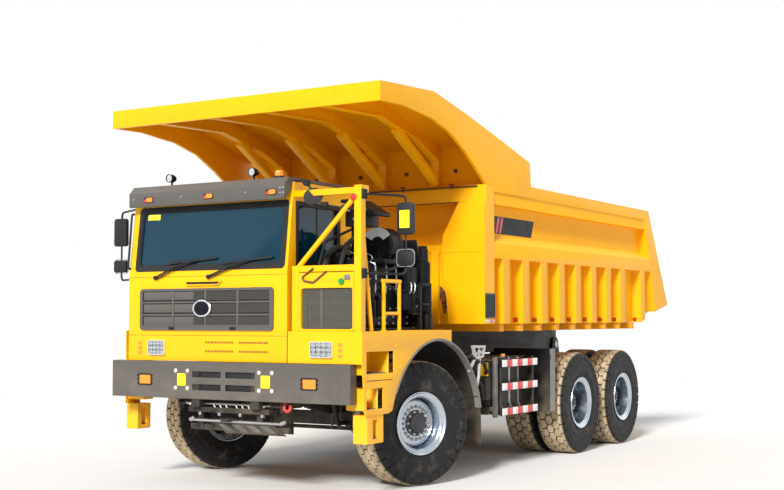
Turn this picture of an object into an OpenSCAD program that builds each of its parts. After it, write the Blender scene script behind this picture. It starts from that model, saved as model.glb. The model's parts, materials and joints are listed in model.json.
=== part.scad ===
// Six-wheel mining dump truck with an offset cab, an open engine deck and a canopied rock body.
// X points to the truck's left, Y points to its tail, Z points up and the ground is z = 0.

/* [Wheels and axles] */
// Outside diameter of every tyre, to the tips of its lugs
tyre_d = 1490; // [1440:5:1520]
// Width of a tyre across its sidewalls
tyre_w = 430; // [400:5:450]
// Diameter of the bead seat that a rim and its tyre share
bead_d = 640; // [600:5:660]
// Diameter across the flanges of a rim
flange_d = 760; // [720:5:790]
// Distance from the centre line to a kingpin
kingpin_x = 1300; // [1260:5:1320]
// Distance from a kingpin to the middle plane of its front tyre
front_offset = 262; // [255:1:280]
// Place of the front axle along the truck
front_axle_y = -3055; // [-3085:5:-3025]
// Place of the first rear axle along the truck
rear_axle_y = 1221; // [1190:5:1240]
// Distance between the two rear axles
bogie_spacing = 1693; // [1640:5:1740]
// Distance from the centre line to the outer tyre of a rear twin
outer_twin_x = 1705; // [1690:5:1715]
// Distance between the middle planes of a rear twin
twin_spacing = 505; // [490:5:520]
// Angle of the front wheels at rest, turned to the truck's right
rest_steer = 21; // [0:1:30]
// Diameter of an axle spindle inside its hub
spindle_d = 150; // [130:5:160]

/* [Frame] */
// Distance from the centre line to the outer face of a frame rail
rail_x = 500; // [480:5:520]
// Width of a frame rail
rail_w = 120; // [100:5:130]
// Height of the underside of the frame rails above the ground
rail_z = 960; // [940:5:980]
// Height of a frame rail
rail_h = 440; // [400:5:450]
// Place of the tail end of the frame rails
rail_tail_y = 3750; // [3700:10:3800]
// Thickness of the bumper, deck and step plates
plate_t = 12; // [8:1:20]

/* [Front] */
// Front face of the bumper
bumper_y = -4815; // [-4840:5:-4800]
// Half the width of the bumper
bumper_x = 1762; // [1740:2:1790]
// Height of the bumper's lower edge above the ground
bumper_z = 1055; // [1030:5:1080]
// Height of the bumper
bumper_h = 440; // [400:5:460]
// Depth of the bumper from front to back
bumper_depth = 130; // [110:5:140]
// Front face of the cab and of the panels below it
front_y = -4765; // [-4775:5:-4755]
// Gap between the bumper's top and the front panels
skirt_gap = 5; // [5:1:15]
// Height of the deck plate above the ground
deck_z = 1860; // [1840:5:1880]
// Distance from the centre line to the outer face of the deck
deck_x = 1885; // [1870:5:1900]
// Tail edge of the deck
deck_tail_y = -2735; // [-2760:5:-2700]
// Radius of the arches over the front wheels
arch_r = 1120; // [1090:5:1130]
// Depth of the band that hangs from the deck's edge
deck_band = 105; // [90:5:115]

/* [Cab] */
// Distance from the centre line to the cab's door side
cab_right_x = 1545; // [1530:5:1560]
// Distance from the centre line to the cab's deck side
cab_left_x = 870; // [850:5:890]
// Back face of the cab
cab_back_y = -3300; // [-3350:5:-3250]
// Height of the cab's roof above the ground
cab_top_z = 3580; // [3550:5:3600]
// Thickness of the cab's walls
cab_wall = 60; // [45:5:70]
// Height at which the front of the cab begins to lean back
lean_z = 2540; // [2520:5:2560]
// Distance that the windscreen leans back over its height
lean = 125; // [100:5:150]
// Lower edge of the side windows
sill_z = 2620; // [2600:5:2640]
// Upper edge of the windows
head_z = 3350; // [3330:5:3370]
// Front edge of the door
door_front_y = -4480; // [-4500:5:-4460]
// Back edge of the door
door_back_y = -3660; // [-3700:5:-3600]
// Gap around the door
door_gap = 6; // [5:1:10]
// Thickness of the window glass
glass_t = 8; // [6:1:10]

/* [Body] */
// Half the width of the body
body_x = 2018; // [2000:2:2036]
// Depth of the side ribs outside the side wall
rib_depth = 150; // [140:5:160]
// Thickness of the body's plates
body_t = 18; // [14:1:24]
// Height of the body's floor above the ground
floor_z = 1930; // [1915:5:1950]
// Height of the top rail above the ground
rail_top_z = 3800; // [3770:5:3830]
// Front face of the body's front wall
wall_y = -1816; // [-1830:2:-1800]
// Front face of the corner posts and of the boxes on the front wall
corner_y = -2100; // [-2115:5:-2080]
// Place where the floor begins to rise to the tail
ramp_y = 3500; // [3450:10:3550]
// Tail end of the body
tail_y = 4815; // [4790:5:4840]
// Height of the tail's lip above the ground
tail_z = 2230; // [2200:5:2260]
// Tail end of the top rail
rail_end_y = 3915; // [3880:5:3950]
// Distance between side ribs
rib_pitch = 596; // [580:2:600]
// Width of a side rib
rib_w = 200; // [160:5:230]
// Back edge of the first side rib
rib_first_y = -1375; // [-1400:5:-1350]
// Front lip of the canopy
lip_y = -4598; // [-4620:2:-4580]
// Height of the top of the canopy's lip
lip_z = 4651; // [4630:1:4670]
// Height of the canopy's lip from top to bottom
lip_h = 224; // [200:2:240]
// Highest point of the canopy
knee_z = 4710; // [4690:1:4730]
// Height at which the canopy meets the front wall
crease_z = 4270; // [4240:5:4300]

/* [Hoist] */
// Place of the body's hinge along the truck
hinge_y = 3400; // [3370:5:3430]
// Height of the body's hinge above the ground
hinge_z = 1560; // [1550:5:1570]
// Diameter of the hinge pins
hinge_d = 90; // [80:2:100]
// Place of the hoist along the truck
hoist_y = -2305; // [-2315:1:-2295]
// Height of the hoist's lower pin
hoist_foot_z = 1150; // [1140:5:1170]
// Height of the hoist's upper pin
hoist_eye_z = 2850; // [2840:5:2860]
// Outside diameter of the hoist's barrel
barrel_d = 290; // [280:2:300]
// Wall of the barrel and of each moving tube
tube_wall = 20; // [18:1:22]
// Running gap between the hoist's tubes
tube_gap = 0.5; // [0.4:0.1:1]

/* [Hidden] */
$fn = 48;

YELLOW = [0.96, 0.76, 0.05];
ORANGE = [0.93, 0.62, 0.04];
GREY = [0.42, 0.40, 0.38];
BLACK = [0.10, 0.10, 0.11];
STEEL = [0.72, 0.73, 0.75];
RUBBER = [0.13, 0.13, 0.13];
GLASS = [0.35, 0.60, 0.62, 0.5];
AMBER = [1.0, 0.55, 0.05];
RED = [0.85, 0.1, 0.08];

axle_z = tyre_d / 2;
rear_axle_2_y = rear_axle_y + bogie_spacing;
rail_top = rail_z + rail_h;
rail_in = rail_x - rail_w;
bumper_top = bumper_z + bumper_h;
skirt_z = bumper_top + skirt_gap;
seat_gap = 0.3;
turn_gap = 5;
side_wall_x = body_x - rib_depth;
tail_slope = (tail_y - rail_end_y) / (rail_top_z - tail_z);

// A box between two corners
module span(lo, hi) translate(lo) cube(hi - lo);

// A prism along X whose outline is given as [y, z] points
module along_x(x0, x1) translate([x0, 0, 0]) rotate([90, 0, 90]) linear_extrude(x1 - x0) children();

// A prism along Y whose outline is given as [x, z] points
module along_y(y0, y1) translate([0, y1, 0]) rotate([90, 0, 0]) linear_extrude(y1 - y0) children();

// The piece and its mirror image across the truck
module both_sides() {
  children();
  mirror([1, 0, 0]) children();
}

// A round bar from a to b
module bar(a, b, d) {
  v = b - a;
  translate(a) rotate([0, acos(v.z / norm(v)), atan2(v.y, v.x)]) cylinder(d = d, h = norm(v));
}

// A square bar from a to b, at a constant x
module strut(a, b, w, h) {
  v = b - a;
  translate(a) rotate([atan2(v.z, v.y), 0, 0]) translate([-w / 2, 0, -h / 2]) cube([w, norm(v), h]);
}

// A shape drawn about a kingpin, turned to the rest angle; side is 1 on the left and -1 on the right
module at_kingpin(side) {
  translate([side * kingpin_x, front_axle_y, axle_z]) rotate([0, 0, -rest_steer])
    scale([side, 1, 1]) children();
}

// Frame
hanger_w = 30;
hinge_boss_d = 240;
hinge_tube_d = 120;
tow_bore = 56;
hoist_cheek_x = 60;
hoist_pin_d = 80;

module hinge_brackets() {
  both_sides() for (x = [rail_in - hanger_w, rail_x])
    along_x(x, x + hanger_w) {
      translate([hinge_y, hinge_z]) circle(d = hinge_boss_d);
      polygon([[hinge_y - 220, rail_z + 100], [hinge_y + 220, rail_z + 100],
               [hinge_y + hinge_boss_d / 2, hinge_z], [hinge_y - hinge_boss_d / 2, hinge_z]]);
    }
  both_sides() translate([rail_in - hanger_w, hinge_y, hinge_z]) rotate([0, 90, 0])
    cylinder(d = hinge_d, h = rail_w + 2 * hanger_w);
  translate([hanger_w - rail_in, hinge_y, hinge_z]) rotate([0, 90, 0])
    cylinder(d = hinge_tube_d, h = 2 * (rail_in - hanger_w));
}

module hoist_foot() {
  both_sides() along_x(hoist_cheek_x + turn_gap, hoist_cheek_x + turn_gap + 35) {
    translate([hoist_y, hoist_foot_z]) circle(d = 150);
    translate([hoist_y - 75, rail_z + 40]) square([150, hoist_foot_z - rail_z - 40]);
  }
  translate([-hoist_cheek_x - 40, hoist_y, hoist_foot_z]) rotate([0, 90, 0])
    cylinder(d = hoist_pin_d, h = 2 * hoist_cheek_x + 80);
  span([-rail_in, hoist_y - 90, rail_z + 20], [rail_in, hoist_y + 90, rail_z + 90]);
}

// Cross members of the frame, as [front face y, depth along y]
cross_rows = [[-4500, 120], [-3700, 120], [-900, 120], [500, 120]];
// Pads that the body rests on, as the front face y of each
body_pads = [-1600, -200, 1200];

module frame_rails() color(BLACK)
  both_sides() span([rail_in, bumper_y + plate_t, rail_z], [rail_x, rail_tail_y, rail_top]);

tail_beam_x = 1000;
tail_beam_z = 1090;
tail_beam_h = 160;
jaw_t = 40;

module cross_members() color(BLACK) {
  for (m = cross_rows)
    span([-rail_in, m[0], rail_z + 200], [rail_in, m[0] + m[1], rail_top - 40]);
  // Tail beam between and outside the rails, with the jaw of the tow coupling
  span([-rail_in, rail_tail_y - 60, tail_beam_z], [rail_in, rail_tail_y, tail_beam_z + tail_beam_h]);
  both_sides()
    span([rail_x, rail_tail_y - 60, tail_beam_z], [tail_beam_x, rail_tail_y, tail_beam_z + tail_beam_h]);
  for (z = [tail_beam_z, tail_beam_z + tail_beam_h - jaw_t]) difference() {
    span([-110, rail_tail_y, z], [110, rail_tail_y + 200, z + jaw_t]);
    translate([0, rail_tail_y + 120, z - 1]) cylinder(d = tow_bore, h = jaw_t + 2);
  }
}

module pivot_brackets() color(BLACK) {
  hinge_brackets();
  hoist_foot();
}

module frame_brackets() color(BLACK) {
  bogie_y = rear_axle_y + bogie_spacing / 2;
  both_sides() {
    span([rail_x, bogie_y - 160, rail_z - 180], [rail_x + 30, bogie_y + 160, rail_z + 240]);
    // Pads under the body and mounts under the cab
    for (y = body_pads)
      span([rail_in + 20, y, rail_top], [rail_x - 20, y + 160, underframe_z - seat_gap]);
    span([rail_in, cab_back_y - 150, rail_top], [rail_x, cab_back_y - 50, cab_floor_z - seat_gap]);
    span([rail_in, bumper_y + bumper_depth + 10, rail_top],
         [rail_x, bumper_y + bumper_depth + 110, skirt_z - seat_gap]);
    // Outriggers that carry the deck and the step panels
    span([rail_x, -4330, 1290], [deck_x - plate_t - seat_gap, -4250, 1370]);
  }
}

// Slots of the bumper, as [left edge x, lower edge z]
bumper_slots = [[-480, 1310], [20, 1310], [-480, 1160], [20, 1160]];
slot_w = 430;
slot_h = 70;

// Amber lamps set in the bumper, as left edge x
bumper_lamps = [-1320, 1120];
bumper_lamp_w = 190;

module front_bumper() color(GREY) {
  difference() {
    span([-bumper_x, bumper_y, bumper_z], [bumper_x, bumper_y + bumper_depth, bumper_top]);
    span([-bumper_x + plate_t, bumper_y + plate_t, bumper_z + plate_t],
         [bumper_x - plate_t, bumper_y + bumper_depth + 1, bumper_top - plate_t]);
    for (s = bumper_slots)
      span([s[0], bumper_y - 1, s[1]], [s[0] + slot_w, bumper_y + plate_t + 1, s[1] + slot_h]);
    for (x = bumper_lamps)
      span([x, bumper_y - 1, 1215], [x + bumper_lamp_w, bumper_y + plate_t + 1, 1325]);
    both_sides() span([rail_in - 1, bumper_y + plate_t, rail_z - 1],
                      [rail_x + 1, bumper_y + bumper_depth + 1, rail_top + 1]);
  }
}

tow_z = 850;

module tow_bar() color(BLACK) difference() {
  union() {
    both_sides() span([rail_in + 20, -4700, 690], [rail_x - 20, -4560, rail_z]);
    span([-600, -4740, 900], [600, -4660, 960 - seat_gap]);
    span([-600, -4690, 690], [840, -4640, 760]);
    span([-60, -4800, tow_z - 50], [60, -4560, tow_z - 10]);
    span([-60, -4600, tow_z - 50], [60, -4560, 960 - 30]);
    span([-rail_x, -4600, tow_z - 90], [rail_x, -4560, tow_z + 40]);
    both_sides() span([750, -4720, 930], [780, -4640, 1040]);
    both_sides() span([rail_x, -4700, 980], [780, -4640, 1010]);
  }
  translate([0, -4735, tow_z - 51]) cylinder(d = tow_bore, h = 42);
}

// Deck with the front panels below it
fascia_split_x = cab_left_x;
opening_x0 = 1000;
opening_x1 = 1760;

module arch_cut() {
  translate([-deck_x - 50, front_axle_y, axle_z - 110]) rotate([0, 90, 0])
    cylinder(r = arch_r, h = 2 * deck_x + 100, $fn = 96);
}

// Step pockets in the side panels, as [lower edge z, upper edge z, front y, back y]
pockets = [[1390, 1635, -4675, -4100], [1000, 1230, -4670, -4330]];

module side_panel_outline() polygon([
  [front_y + plate_t, deck_z - plate_t], [front_y + plate_t, skirt_z], [front_y + 60, bumper_z - 120],
  [-4225, bumper_z - 120], [-4195, bumper_z - 115], [deck_tail_y, skirt_z], [deck_tail_y, deck_z - plate_t]
]);

module deck() color(YELLOW) {
  // Left fascia, deck plate, side panel and band
  difference() {
    union() {
      span([cab_left_x + 10, front_y, skirt_z], [deck_x, front_y + plate_t, deck_z]);
      span([cab_left_x + 10, front_y, deck_z - plate_t], [deck_x, deck_tail_y, deck_z]);
      along_x(deck_x - plate_t, deck_x) side_panel_outline();
      span([cab_left_x + 10, deck_tail_y - plate_t, deck_z - deck_band], [deck_x, deck_tail_y, deck_z]);
      span([cab_left_x + 30, -4330, 1370 + seat_gap], [cab_left_x + 90, -4250, deck_z - plate_t]);
      span([rail_x - 20, -2900, rail_top], [rail_x + 40, -2840, deck_z - plate_t]);
      span([rail_x - 20, -2900, deck_z - 90], [deck_x - plate_t, -2840, deck_z - plate_t]);
    }
    difference() {
      arch_cut();
      span([0, -5000, 0], [deck_x - plate_t, 0, 3000]);
    }
    for (p = pockets)
      span([deck_x - plate_t - 1, p[2], p[0]], [deck_x + 1, p[3], p[1]]);
  }
  // Walkway under the door on the right
  difference() {
    union() {
      span([-deck_x, -4455, deck_z - plate_t], [-cab_right_x - 10, deck_tail_y, deck_z]);
      span([-deck_x, -4455, deck_z - deck_band], [-deck_x + plate_t, deck_tail_y, deck_z]);
      span([-deck_x, -4455, bumper_z - 120], [-deck_x + plate_t, -4195, deck_z]);
      span([-deck_x, -2900, deck_z - 90], [-rail_x + 20, -2840, deck_z - plate_t]);
      span([-rail_x - 40, -2900, rail_top], [-rail_x + 20, -2840, deck_z - plate_t]);
    }
    difference() {
      arch_cut();
      span([-deck_x + plate_t, -5000, 0], [0, 0, 3000]);
    }
    for (p = pockets)
      span([-deck_x - 1, -4400, p[0]], [-deck_x + plate_t + 1, -4250, p[1]]);
  }
}

// Trays behind the step pockets and the hanging steps below the panels
step_in = 260;

module step_panels() color(YELLOW) {
  for (p = pockets) {
    difference() {
      span([deck_x - plate_t - step_in, p[2], p[0] - plate_t], [deck_x - plate_t, p[3] - 90, p[1]]);
      span([deck_x - plate_t - step_in + plate_t, p[2] + plate_t, p[0]],
           [deck_x, p[3] - 90 - plate_t, p[1] + 1]);
    }
    difference() {
      span([-deck_x + plate_t, -4400 - plate_t, p[0] - plate_t],
           [-deck_x + plate_t + step_in, -4250 + plate_t, p[1]]);
      span([-deck_x, -4400, p[0]], [-deck_x + step_in, -4250, p[1] + 1]);
    }
  }
  difference() {
    span([deck_x - 200, -4640, 620], [deck_x - plate_t, -4305, bumper_z - 120]);
    span([deck_x - 201, -4520, 670], [deck_x, -4425, 880]);
  }
  span([deck_x - 2 * plate_t, -4640, bumper_z - 120], [deck_x - plate_t, -4305, 985]);
  difference() {
    span([-deck_x + plate_t, -4440, 620], [-deck_x + 200, -4205, bumper_z - 120]);
    span([-deck_x, -4370, 670], [-deck_x + 201, -4275, 880]);
  }
  span([-deck_x + plate_t, -4440, bumper_z - 120], [-deck_x + 2 * plate_t, -4205, 985]);
}

guard_t = 18;
guard_in_x = 1080;

// Tail half of the guard over a front wheel, with its flap
module mudguard_half() along_x(guard_in_x, deck_x - plate_t) {
  r = arch_r - 2;
  translate([front_axle_y, axle_z - 110]) intersection() {
    difference() {
      circle(r = r, $fn = 180);
      circle(r = r - guard_t, $fn = 180);
    }
    translate([100, 0]) square([2 * r, 2 * r]);
  }
  translate([front_axle_y + r - guard_t, 380]) square([guard_t, axle_z - 110 - 380]);
}

module mudguards() color(BLACK) {
  both_sides() mudguard_half();
  both_sides() span([rail_x, -2025, 1000], [deck_x - plate_t, -1965, 1060]);
  both_sides() {
    span([1000, 150, 670], [1890, 170, 1570]);
    span([1870, 150, 670], [1890, 330, 1570]);
    span([rail_x, 170, 1300], [1890, 210, 1360]);
  }
}

// Guard posts and handrails of the deck
post_x0 = 970;
post_x1 = 1815;
post_w = 90;
post_top = 3480;

module guard_frame() color(YELLOW) {
  span([post_x1 - post_w / 2, front_y + 20, deck_z], [post_x1 + post_w / 2, front_y + 20 + post_w, post_top]);
  span([post_x0 - 45, front_y + 20, deck_z], [post_x0 + 45, front_y + 20 + post_w, 2600]);
  span([post_x0, front_y + 30, 2530], [post_x1, front_y + 90, 2600]);
  bar([post_x1, front_y + 65, 3420], [post_x0, front_y + 65, 2570], 60);
  span([cab_left_x + seat_gap, front_y + 120, post_top - 80], [post_x1 - post_w / 2, front_y + 180, post_top - 10]);
  span([post_x1 - post_w / 2, front_y + 110, post_top - 80], [post_x1 + post_w / 2, front_y + 180, post_top]);
  bar([post_x1, front_y + 90, 3160], [post_x1, -4465, deck_z + 6], 50);
  for (y = [-4205, -3865])
    bar([post_x1, y, deck_z], [post_x1, y, 2430], 45);
  bar([post_x1, -4227, 2430], [post_x1, -3843, 2430], 45);
  bar([post_x1, -4205, 2060], [post_x1, -3865, 2060], 40);
}

module radiator() color(BLACK) {
  span([opening_x0 + 60, -4640, deck_z], [1760, -4500, 2520]);
}

module engine() color(BLACK) {
  span([960, -4460, deck_z + 40], [1560, -3000, 2420]);
  both_sides_y() span([1000, -4440, deck_z], [1520, -4300, deck_z + 40]);
  span([1020, -4300, 2420], [1500, -3200, 2640]);
  translate([1300, -4495, 2360]) rotate([-90, 0, 0]) cylinder(d = 560, h = 35);
}

module both_sides_y() {
  children();
  translate([0, 1260, 0]) children();
}

module air_intake() color(BLACK) {
  span([1180, -3900, 2640], [1640, -3420, 2700]);
  translate([1410, -3660, 2700]) cylinder(d = 380, h = 420);
  span([1180, -4250, 3060], [1560, -3880, 3340]);
  span([1330, -4140, 2640], [1420, -4050, 3060]);
}

module exhaust() color(BLACK) {
  span([1590, -3170, deck_z], [1770, -2970, 2050]);
  translate([1680, -3070, 2050]) cylinder(d = 170, h = 800);
  span([1590, -2965, deck_z], [1800, -2940, 2900]);
  span([1600, -2970, 2000], [1760, -2965, 2040]);
}

shaft_d = 110;

module driveline() color(GREY) {
  span([-320, -1940, rail_z - 20], [320, -1100, rail_top + 20]);
  for (y = [-1880, -1260])
    span([-rail_in, y, rail_z + 150], [rail_in, y + 80, rail_z + 250]);
  joint_y = rear_axle_y - pinion_l - 70;
  bar([0, -1130, 1010], [0, joint_y, axle_z], shaft_d);
  for (ends = [[joint_y - 20, rear_axle_y - pinion_l], [rear_axle_y + pinion_l, rear_axle_2_y - pinion_l]])
    translate([0, ends[1] - seat_gap, axle_z]) rotate([90, 0, 0])
      cylinder(d = shaft_d, h = ends[1] - ends[0] - 2 * seat_gap);
}

// Cab
cab_floor_z = 1770;
visor_y = bumper_y + 6;

module cab_outline() polygon([
  [front_y, skirt_z], [front_y, lean_z], [front_y + lean, cab_top_z],
  [cab_back_y, cab_top_z], [cab_back_y, cab_floor_z], [-4200, cab_floor_z], [-4500, skirt_z]
]);

module cab_inside() polygon([
  [front_y + cab_wall, cab_floor_z + cab_wall], [front_y + cab_wall, lean_z],
  [front_y + cab_wall + lean, cab_top_z + 1], [cab_back_y - cab_wall, cab_top_z + 1],
  [cab_back_y - cab_wall, cab_floor_z + cab_wall]
]);

// Hinges of the door, as the lower edge z of each knuckle
door_hinges = [2080, 3120];
door_pin_x = -cab_right_x - 14;
door_pin_y = door_front_y - door_gap / 2;
door_pin_d = 16;
knuckle_h = 80;

module cab_shell() color(YELLOW) {
  cab_walls();
  for (z = door_hinges) {
    translate([door_pin_x, door_pin_y, z - 25]) cylinder(d = door_pin_d, h = knuckle_h + 50);
    for (dz = [-25, knuckle_h + 1]) {
      span([door_pin_x - 12, door_pin_y - 70, z + dz], [-cab_right_x, door_pin_y, z + dz + 24]);
      translate([door_pin_x, door_pin_y, z + dz]) cylinder(d = 24, h = 24);
    }
  }
}

module cab_walls() difference() {
  along_x(-cab_right_x, cab_left_x) cab_outline();
  along_x(-cab_right_x + cab_wall, cab_left_x - cab_wall) cab_inside();
  // Windscreen, deck-side window and back window
  span([-1430, front_y - 10, 2600], [810, front_y + 300, head_z]);
  span([0, -4590, sill_z], [cab_left_x + 1, -3700, head_z]);
  span([-1100, cab_back_y - cab_wall - 1, sill_z + 100], [500, cab_back_y + 1, head_z - 50]);
  // Door opening
  span([-cab_right_x - 1, door_front_y - door_gap, deck_z + 40], [-cab_right_x + cab_wall + 1, door_back_y + door_gap, head_z + 60]);
}

module cab_roof() color(GREY) {
  along_x(-cab_right_x + 20, cab_left_x - 10) polygon([
    [visor_y, 3370], [visor_y, cab_top_z - 40], [visor_y + 80, cab_top_z + 50], [cab_back_y, cab_top_z + 50],
    [cab_back_y, cab_top_z], [front_y + lean, cab_top_z], [front_y + lean - 20, cab_top_z - 80], [visor_y + 40, 3370]
  ]);
}

module cab_glass() color(GLASS) {
  a = atan(lean / (cab_top_z - lean_z));
  translate([0, front_y + 15, lean_z]) rotate([-a, 0, 0])
    span([-1430 + seat_gap, 0, 62], [810 - seat_gap, glass_t, 62 + (head_z - 2600) / cos(a) - 2]);
  span([cab_left_x - 30, -4590 + seat_gap, sill_z + seat_gap], [cab_left_x - 30 + glass_t, -3700 - seat_gap, head_z - seat_gap]);
  span([-1100 + seat_gap, cab_back_y - 30, sill_z + 100 + seat_gap], [500 - seat_gap, cab_back_y - 30 + glass_t, head_z - 50 - seat_gap]);
}

module grille_panel() color(GREY) difference() {
  span([-1345, front_y - 25, 1865], [685, front_y - seat_gap, 2365]);
  for (row = [0:2], col = [2:3])
    span([-1345 + 40 + col * 495, front_y - 26, 1865 + 30 + row * 155],
         [-1345 + 40 + col * 495 + 455, front_y - 12, 1865 + 30 + row * 155 + 125]);
}

module seats() color(BLACK) for (x = [-1050, 350]) {
  span([x - 150, -3950, cab_floor_z + cab_wall], [x + 150, -3600, 2150]);
  span([x - 260, -4150, 2150], [x + 260, -3560, 2290]);
  span([x - 250, -3600, 2290], [x + 250, -3470, 3050]);
}

module dashboard() color(BLACK) {
  span([-1440, front_y + cab_wall + seat_gap, cab_floor_z + cab_wall], [760, front_y + 420, 2450]);
  bar([-1050, front_y + 400, 2350], [-1050, front_y + 560, 2560], 60);
  translate([-1050, front_y + 560, 2560]) rotate([-35, 0, 0]) difference() {
    cylinder(d = 440, h = 30);
    difference() {
      translate([0, 0, -1]) cylinder(d = 380, h = 32);
      translate([-200, -25, -2]) cube([400, 50, 34]);
    }
  }
}

mirror_x0 = 2050;
mirror_x1 = 2260;
mirror_y = -4300;

// Mirror heads of one side, as [lower edge z, upper edge z]
mirror_heads = [[2940, 3300], [2600, 2760]];

// Heights of the mirror arms
mirror_arms = [2500, 3380];

module mirrors() color(BLACK) {
  both_sides() {
    for (h = mirror_heads)
      span([mirror_x0, mirror_y, h[0]], [mirror_x1, mirror_y + 60, h[1]]);
    bar([2150, mirror_y + 30, mirror_arms[0] - 20], [2150, mirror_y + 30, mirror_arms[1] + 20], 36);
  }
  foot_x = post_x1 + post_w / 2;
  for (z = mirror_arms) {
    span([foot_x, front_y + 40, z - 40], [foot_x + 20, front_y + 100, z + 40]);
    bar([foot_x + 12, front_y + 70, z], [2150, mirror_y + 30, z], 26);
    span([-cab_right_x - 20, front_y + 150, z - 40], [-cab_right_x, front_y + 210, z + 40]);
    bar([-cab_right_x - 12, front_y + 180, z], [-2150, mirror_y + 30, z], 26);
  }
}

module work_lamps() color(STEEL) {
  span([-1210, front_y - 30, 1570], [-940, front_y - seat_gap, 1740]);
  span([1200, front_y - 30, 1570], [1510, front_y - seat_gap, 1750]);
  for (x = [-1060, 220]) {
    translate([x, -4555, cab_top_z + 50]) cylinder(d = 30, h = 60);
    translate([x, -4590, cab_top_z + 110]) rotate([-90, 0, 0]) cylinder(d = 90, h = 70);
  }
}

roof_z = cab_top_z + 50;

module amber_lamps() color(AMBER) {
  for (x = bumper_lamps)
    span([x + seat_gap, bumper_y, 1215 + seat_gap],
         [x + bumper_lamp_w - seat_gap, bumper_y + 30, 1325 - seat_gap]);
  for (x = [-1200, -260, 670])
    span([x - 50, visor_y - 6, 3430], [x + 50, visor_y, 3475]);
  translate([600, -4555, roof_z]) cylinder(d = 110, h = 110);
}

module tail_lamps() color(RED) {
  both_sides() span([700, rail_tail_y, 1120], [950, rail_tail_y + 60, 1230]);
}

module fuel_tank() color(BLACK) {
  span([700, -1400, 720], [1700, -150, 1480]);
  span([rail_x, -1200, 1000], [700, -1100, 1350]);
  span([rail_x, -500, 1000], [700, -400, 1350]);
}

module side_guards() color(RED) {
  both_sides() {
    for (z = [710, 1040, 1350])
      span([1830, -1325, z], [1870, -225, z + 105]);
    for (y = [-1320, -320])
      span([1700, y, 720], [1830, y + 60, 1480]);
  }
}

module hydraulic_tank() color(BLACK) {
  span([-1700, -1400, 720], [-700, -150, 1480]);
  span([-700, -1200, 1000], [-rail_x, -1100, 1350]);
  span([-700, -500, 1000], [-rail_x, -400, 1350]);
}

// Running gear
kingpin_d = 70;
boss_d = 150;
boss_h = 130;
ear_h = 45;
pin_gap = 0.3;
arm_len = 250;

module front_axle() color(BLACK) {
  both_sides() span([0, front_axle_y - 80, axle_z - 80], [kingpin_x - 110, front_axle_y + 80, axle_z + 80]);
  both_sides() span([kingpin_x - 120, front_axle_y - 55, axle_z - boss_h / 2 + 5],
                    [kingpin_x, front_axle_y + 55, axle_z + boss_h / 2 - 5]);
  both_sides() translate([kingpin_x, front_axle_y, axle_z]) {
    cylinder(d = boss_d, h = boss_h, center = true);
    cylinder(d = kingpin_d, h = boss_h + 2 * (ear_h + turn_gap), center = true);
  }
}

module knuckle(side) at_kingpin(side) {
  for (z = [-boss_h / 2 - turn_gap - ear_h, boss_h / 2 + turn_gap]) difference() {
    union() {
      translate([0, 0, z]) cylinder(d = boss_d, h = ear_h);
      translate([0, -60, z]) cube([120, 120, ear_h]);
    }
    translate([0, 0, z - 1]) cylinder(d = kingpin_d + 2 * pin_gap, h = ear_h + 2);
  }
  translate([boss_d / 2 + turn_gap, -90, -boss_h / 2 - turn_gap - ear_h])
    cube([40, 180, boss_h + 2 * (turn_gap + ear_h)]);
  translate([boss_d / 2 + turn_gap, 0, 0]) rotate([0, 90, 0])
    cylinder(d = spindle_d, h = front_offset + 60 - boss_d / 2 - turn_gap);
  translate([0, 0, -boss_h / 2 - turn_gap - ear_h]) difference() {
    union() {
      translate([-35, 50, 0]) cube([70, arm_len - 50, ear_h]);
      translate([0, arm_len, 0]) cylinder(d = 76, h = ear_h);
    }
    translate([0, 0, -1]) cylinder(d = kingpin_d + 2 * pin_gap, h = ear_h + 2);
  }
}

module knuckle_left() color(BLACK) knuckle(1);
module knuckle_right() color(BLACK) knuckle(-1);

tie_rod_d = 60;
tie_rod_z = axle_z - boss_h / 2 - turn_gap - ear_h - seat_gap - tie_rod_d / 2;

module tie_rod() color(BLACK) {
  end_x = arm_len * sin(rest_steer);
  end_y = front_axle_y + arm_len * cos(rest_steer);
  bar([end_x - kingpin_x, end_y, tie_rod_z], [end_x + kingpin_x, end_y, tie_rod_z], tie_rod_d - 10);
  for (side = [-1, 1])
    translate([end_x + side * kingpin_x, end_y, tie_rod_z - tie_rod_d / 2]) cylinder(d = 70, h = tie_rod_d);
}

pinion_l = 290;

housing_d = 220;
banjo_d = 480;
housing_x = 950;

// Rear axles: a housing that swells round the gears, a spindle at each end and a flange for each shaft
module rear_axles() color(BLACK) for (y = [rear_axle_y, rear_axle_2_y]) {
  translate([0, y, axle_z]) {
    rotate([0, 90, 0]) rotate_extrude() polygon([
      [0, -outer_twin_x], [spindle_d / 2, -outer_twin_x], [spindle_d / 2, -housing_x],
      [housing_d / 2, -housing_x], [housing_d / 2, -360], [banjo_d / 2, -110], [banjo_d / 2, 110],
      [housing_d / 2, 360], [housing_d / 2, housing_x], [spindle_d / 2, housing_x],
      [spindle_d / 2, outer_twin_x], [0, outer_twin_x]
    ]);
    rotate([90, 0, 0]) cylinder(d = 180, h = 2 * pinion_l, center = true);
  }
}

leaf_t = 18;

module springs() color(BLACK) {
  both_sides() {
    for (i = [0:5])
      translate([rail_in + 10, front_axle_y - 350 - i * 70, axle_z + 80 + i * leaf_t])
        cube([rail_w - 20, 700 + i * 140, leaf_t]);
    for (y = [front_axle_y - 700, front_axle_y + 640])
      span([rail_in + 10, y, axle_z + 80 + 6 * leaf_t], [rail_x - 10, y + 60, rail_z]);
    for (i = [0:7])
      translate([rail_x + 30, rear_axle_y - 90 + i * 75, axle_z + 110 + i * leaf_t])
        cube([110, bogie_spacing + 180 - i * 150, leaf_t]);
  }
}

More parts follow.
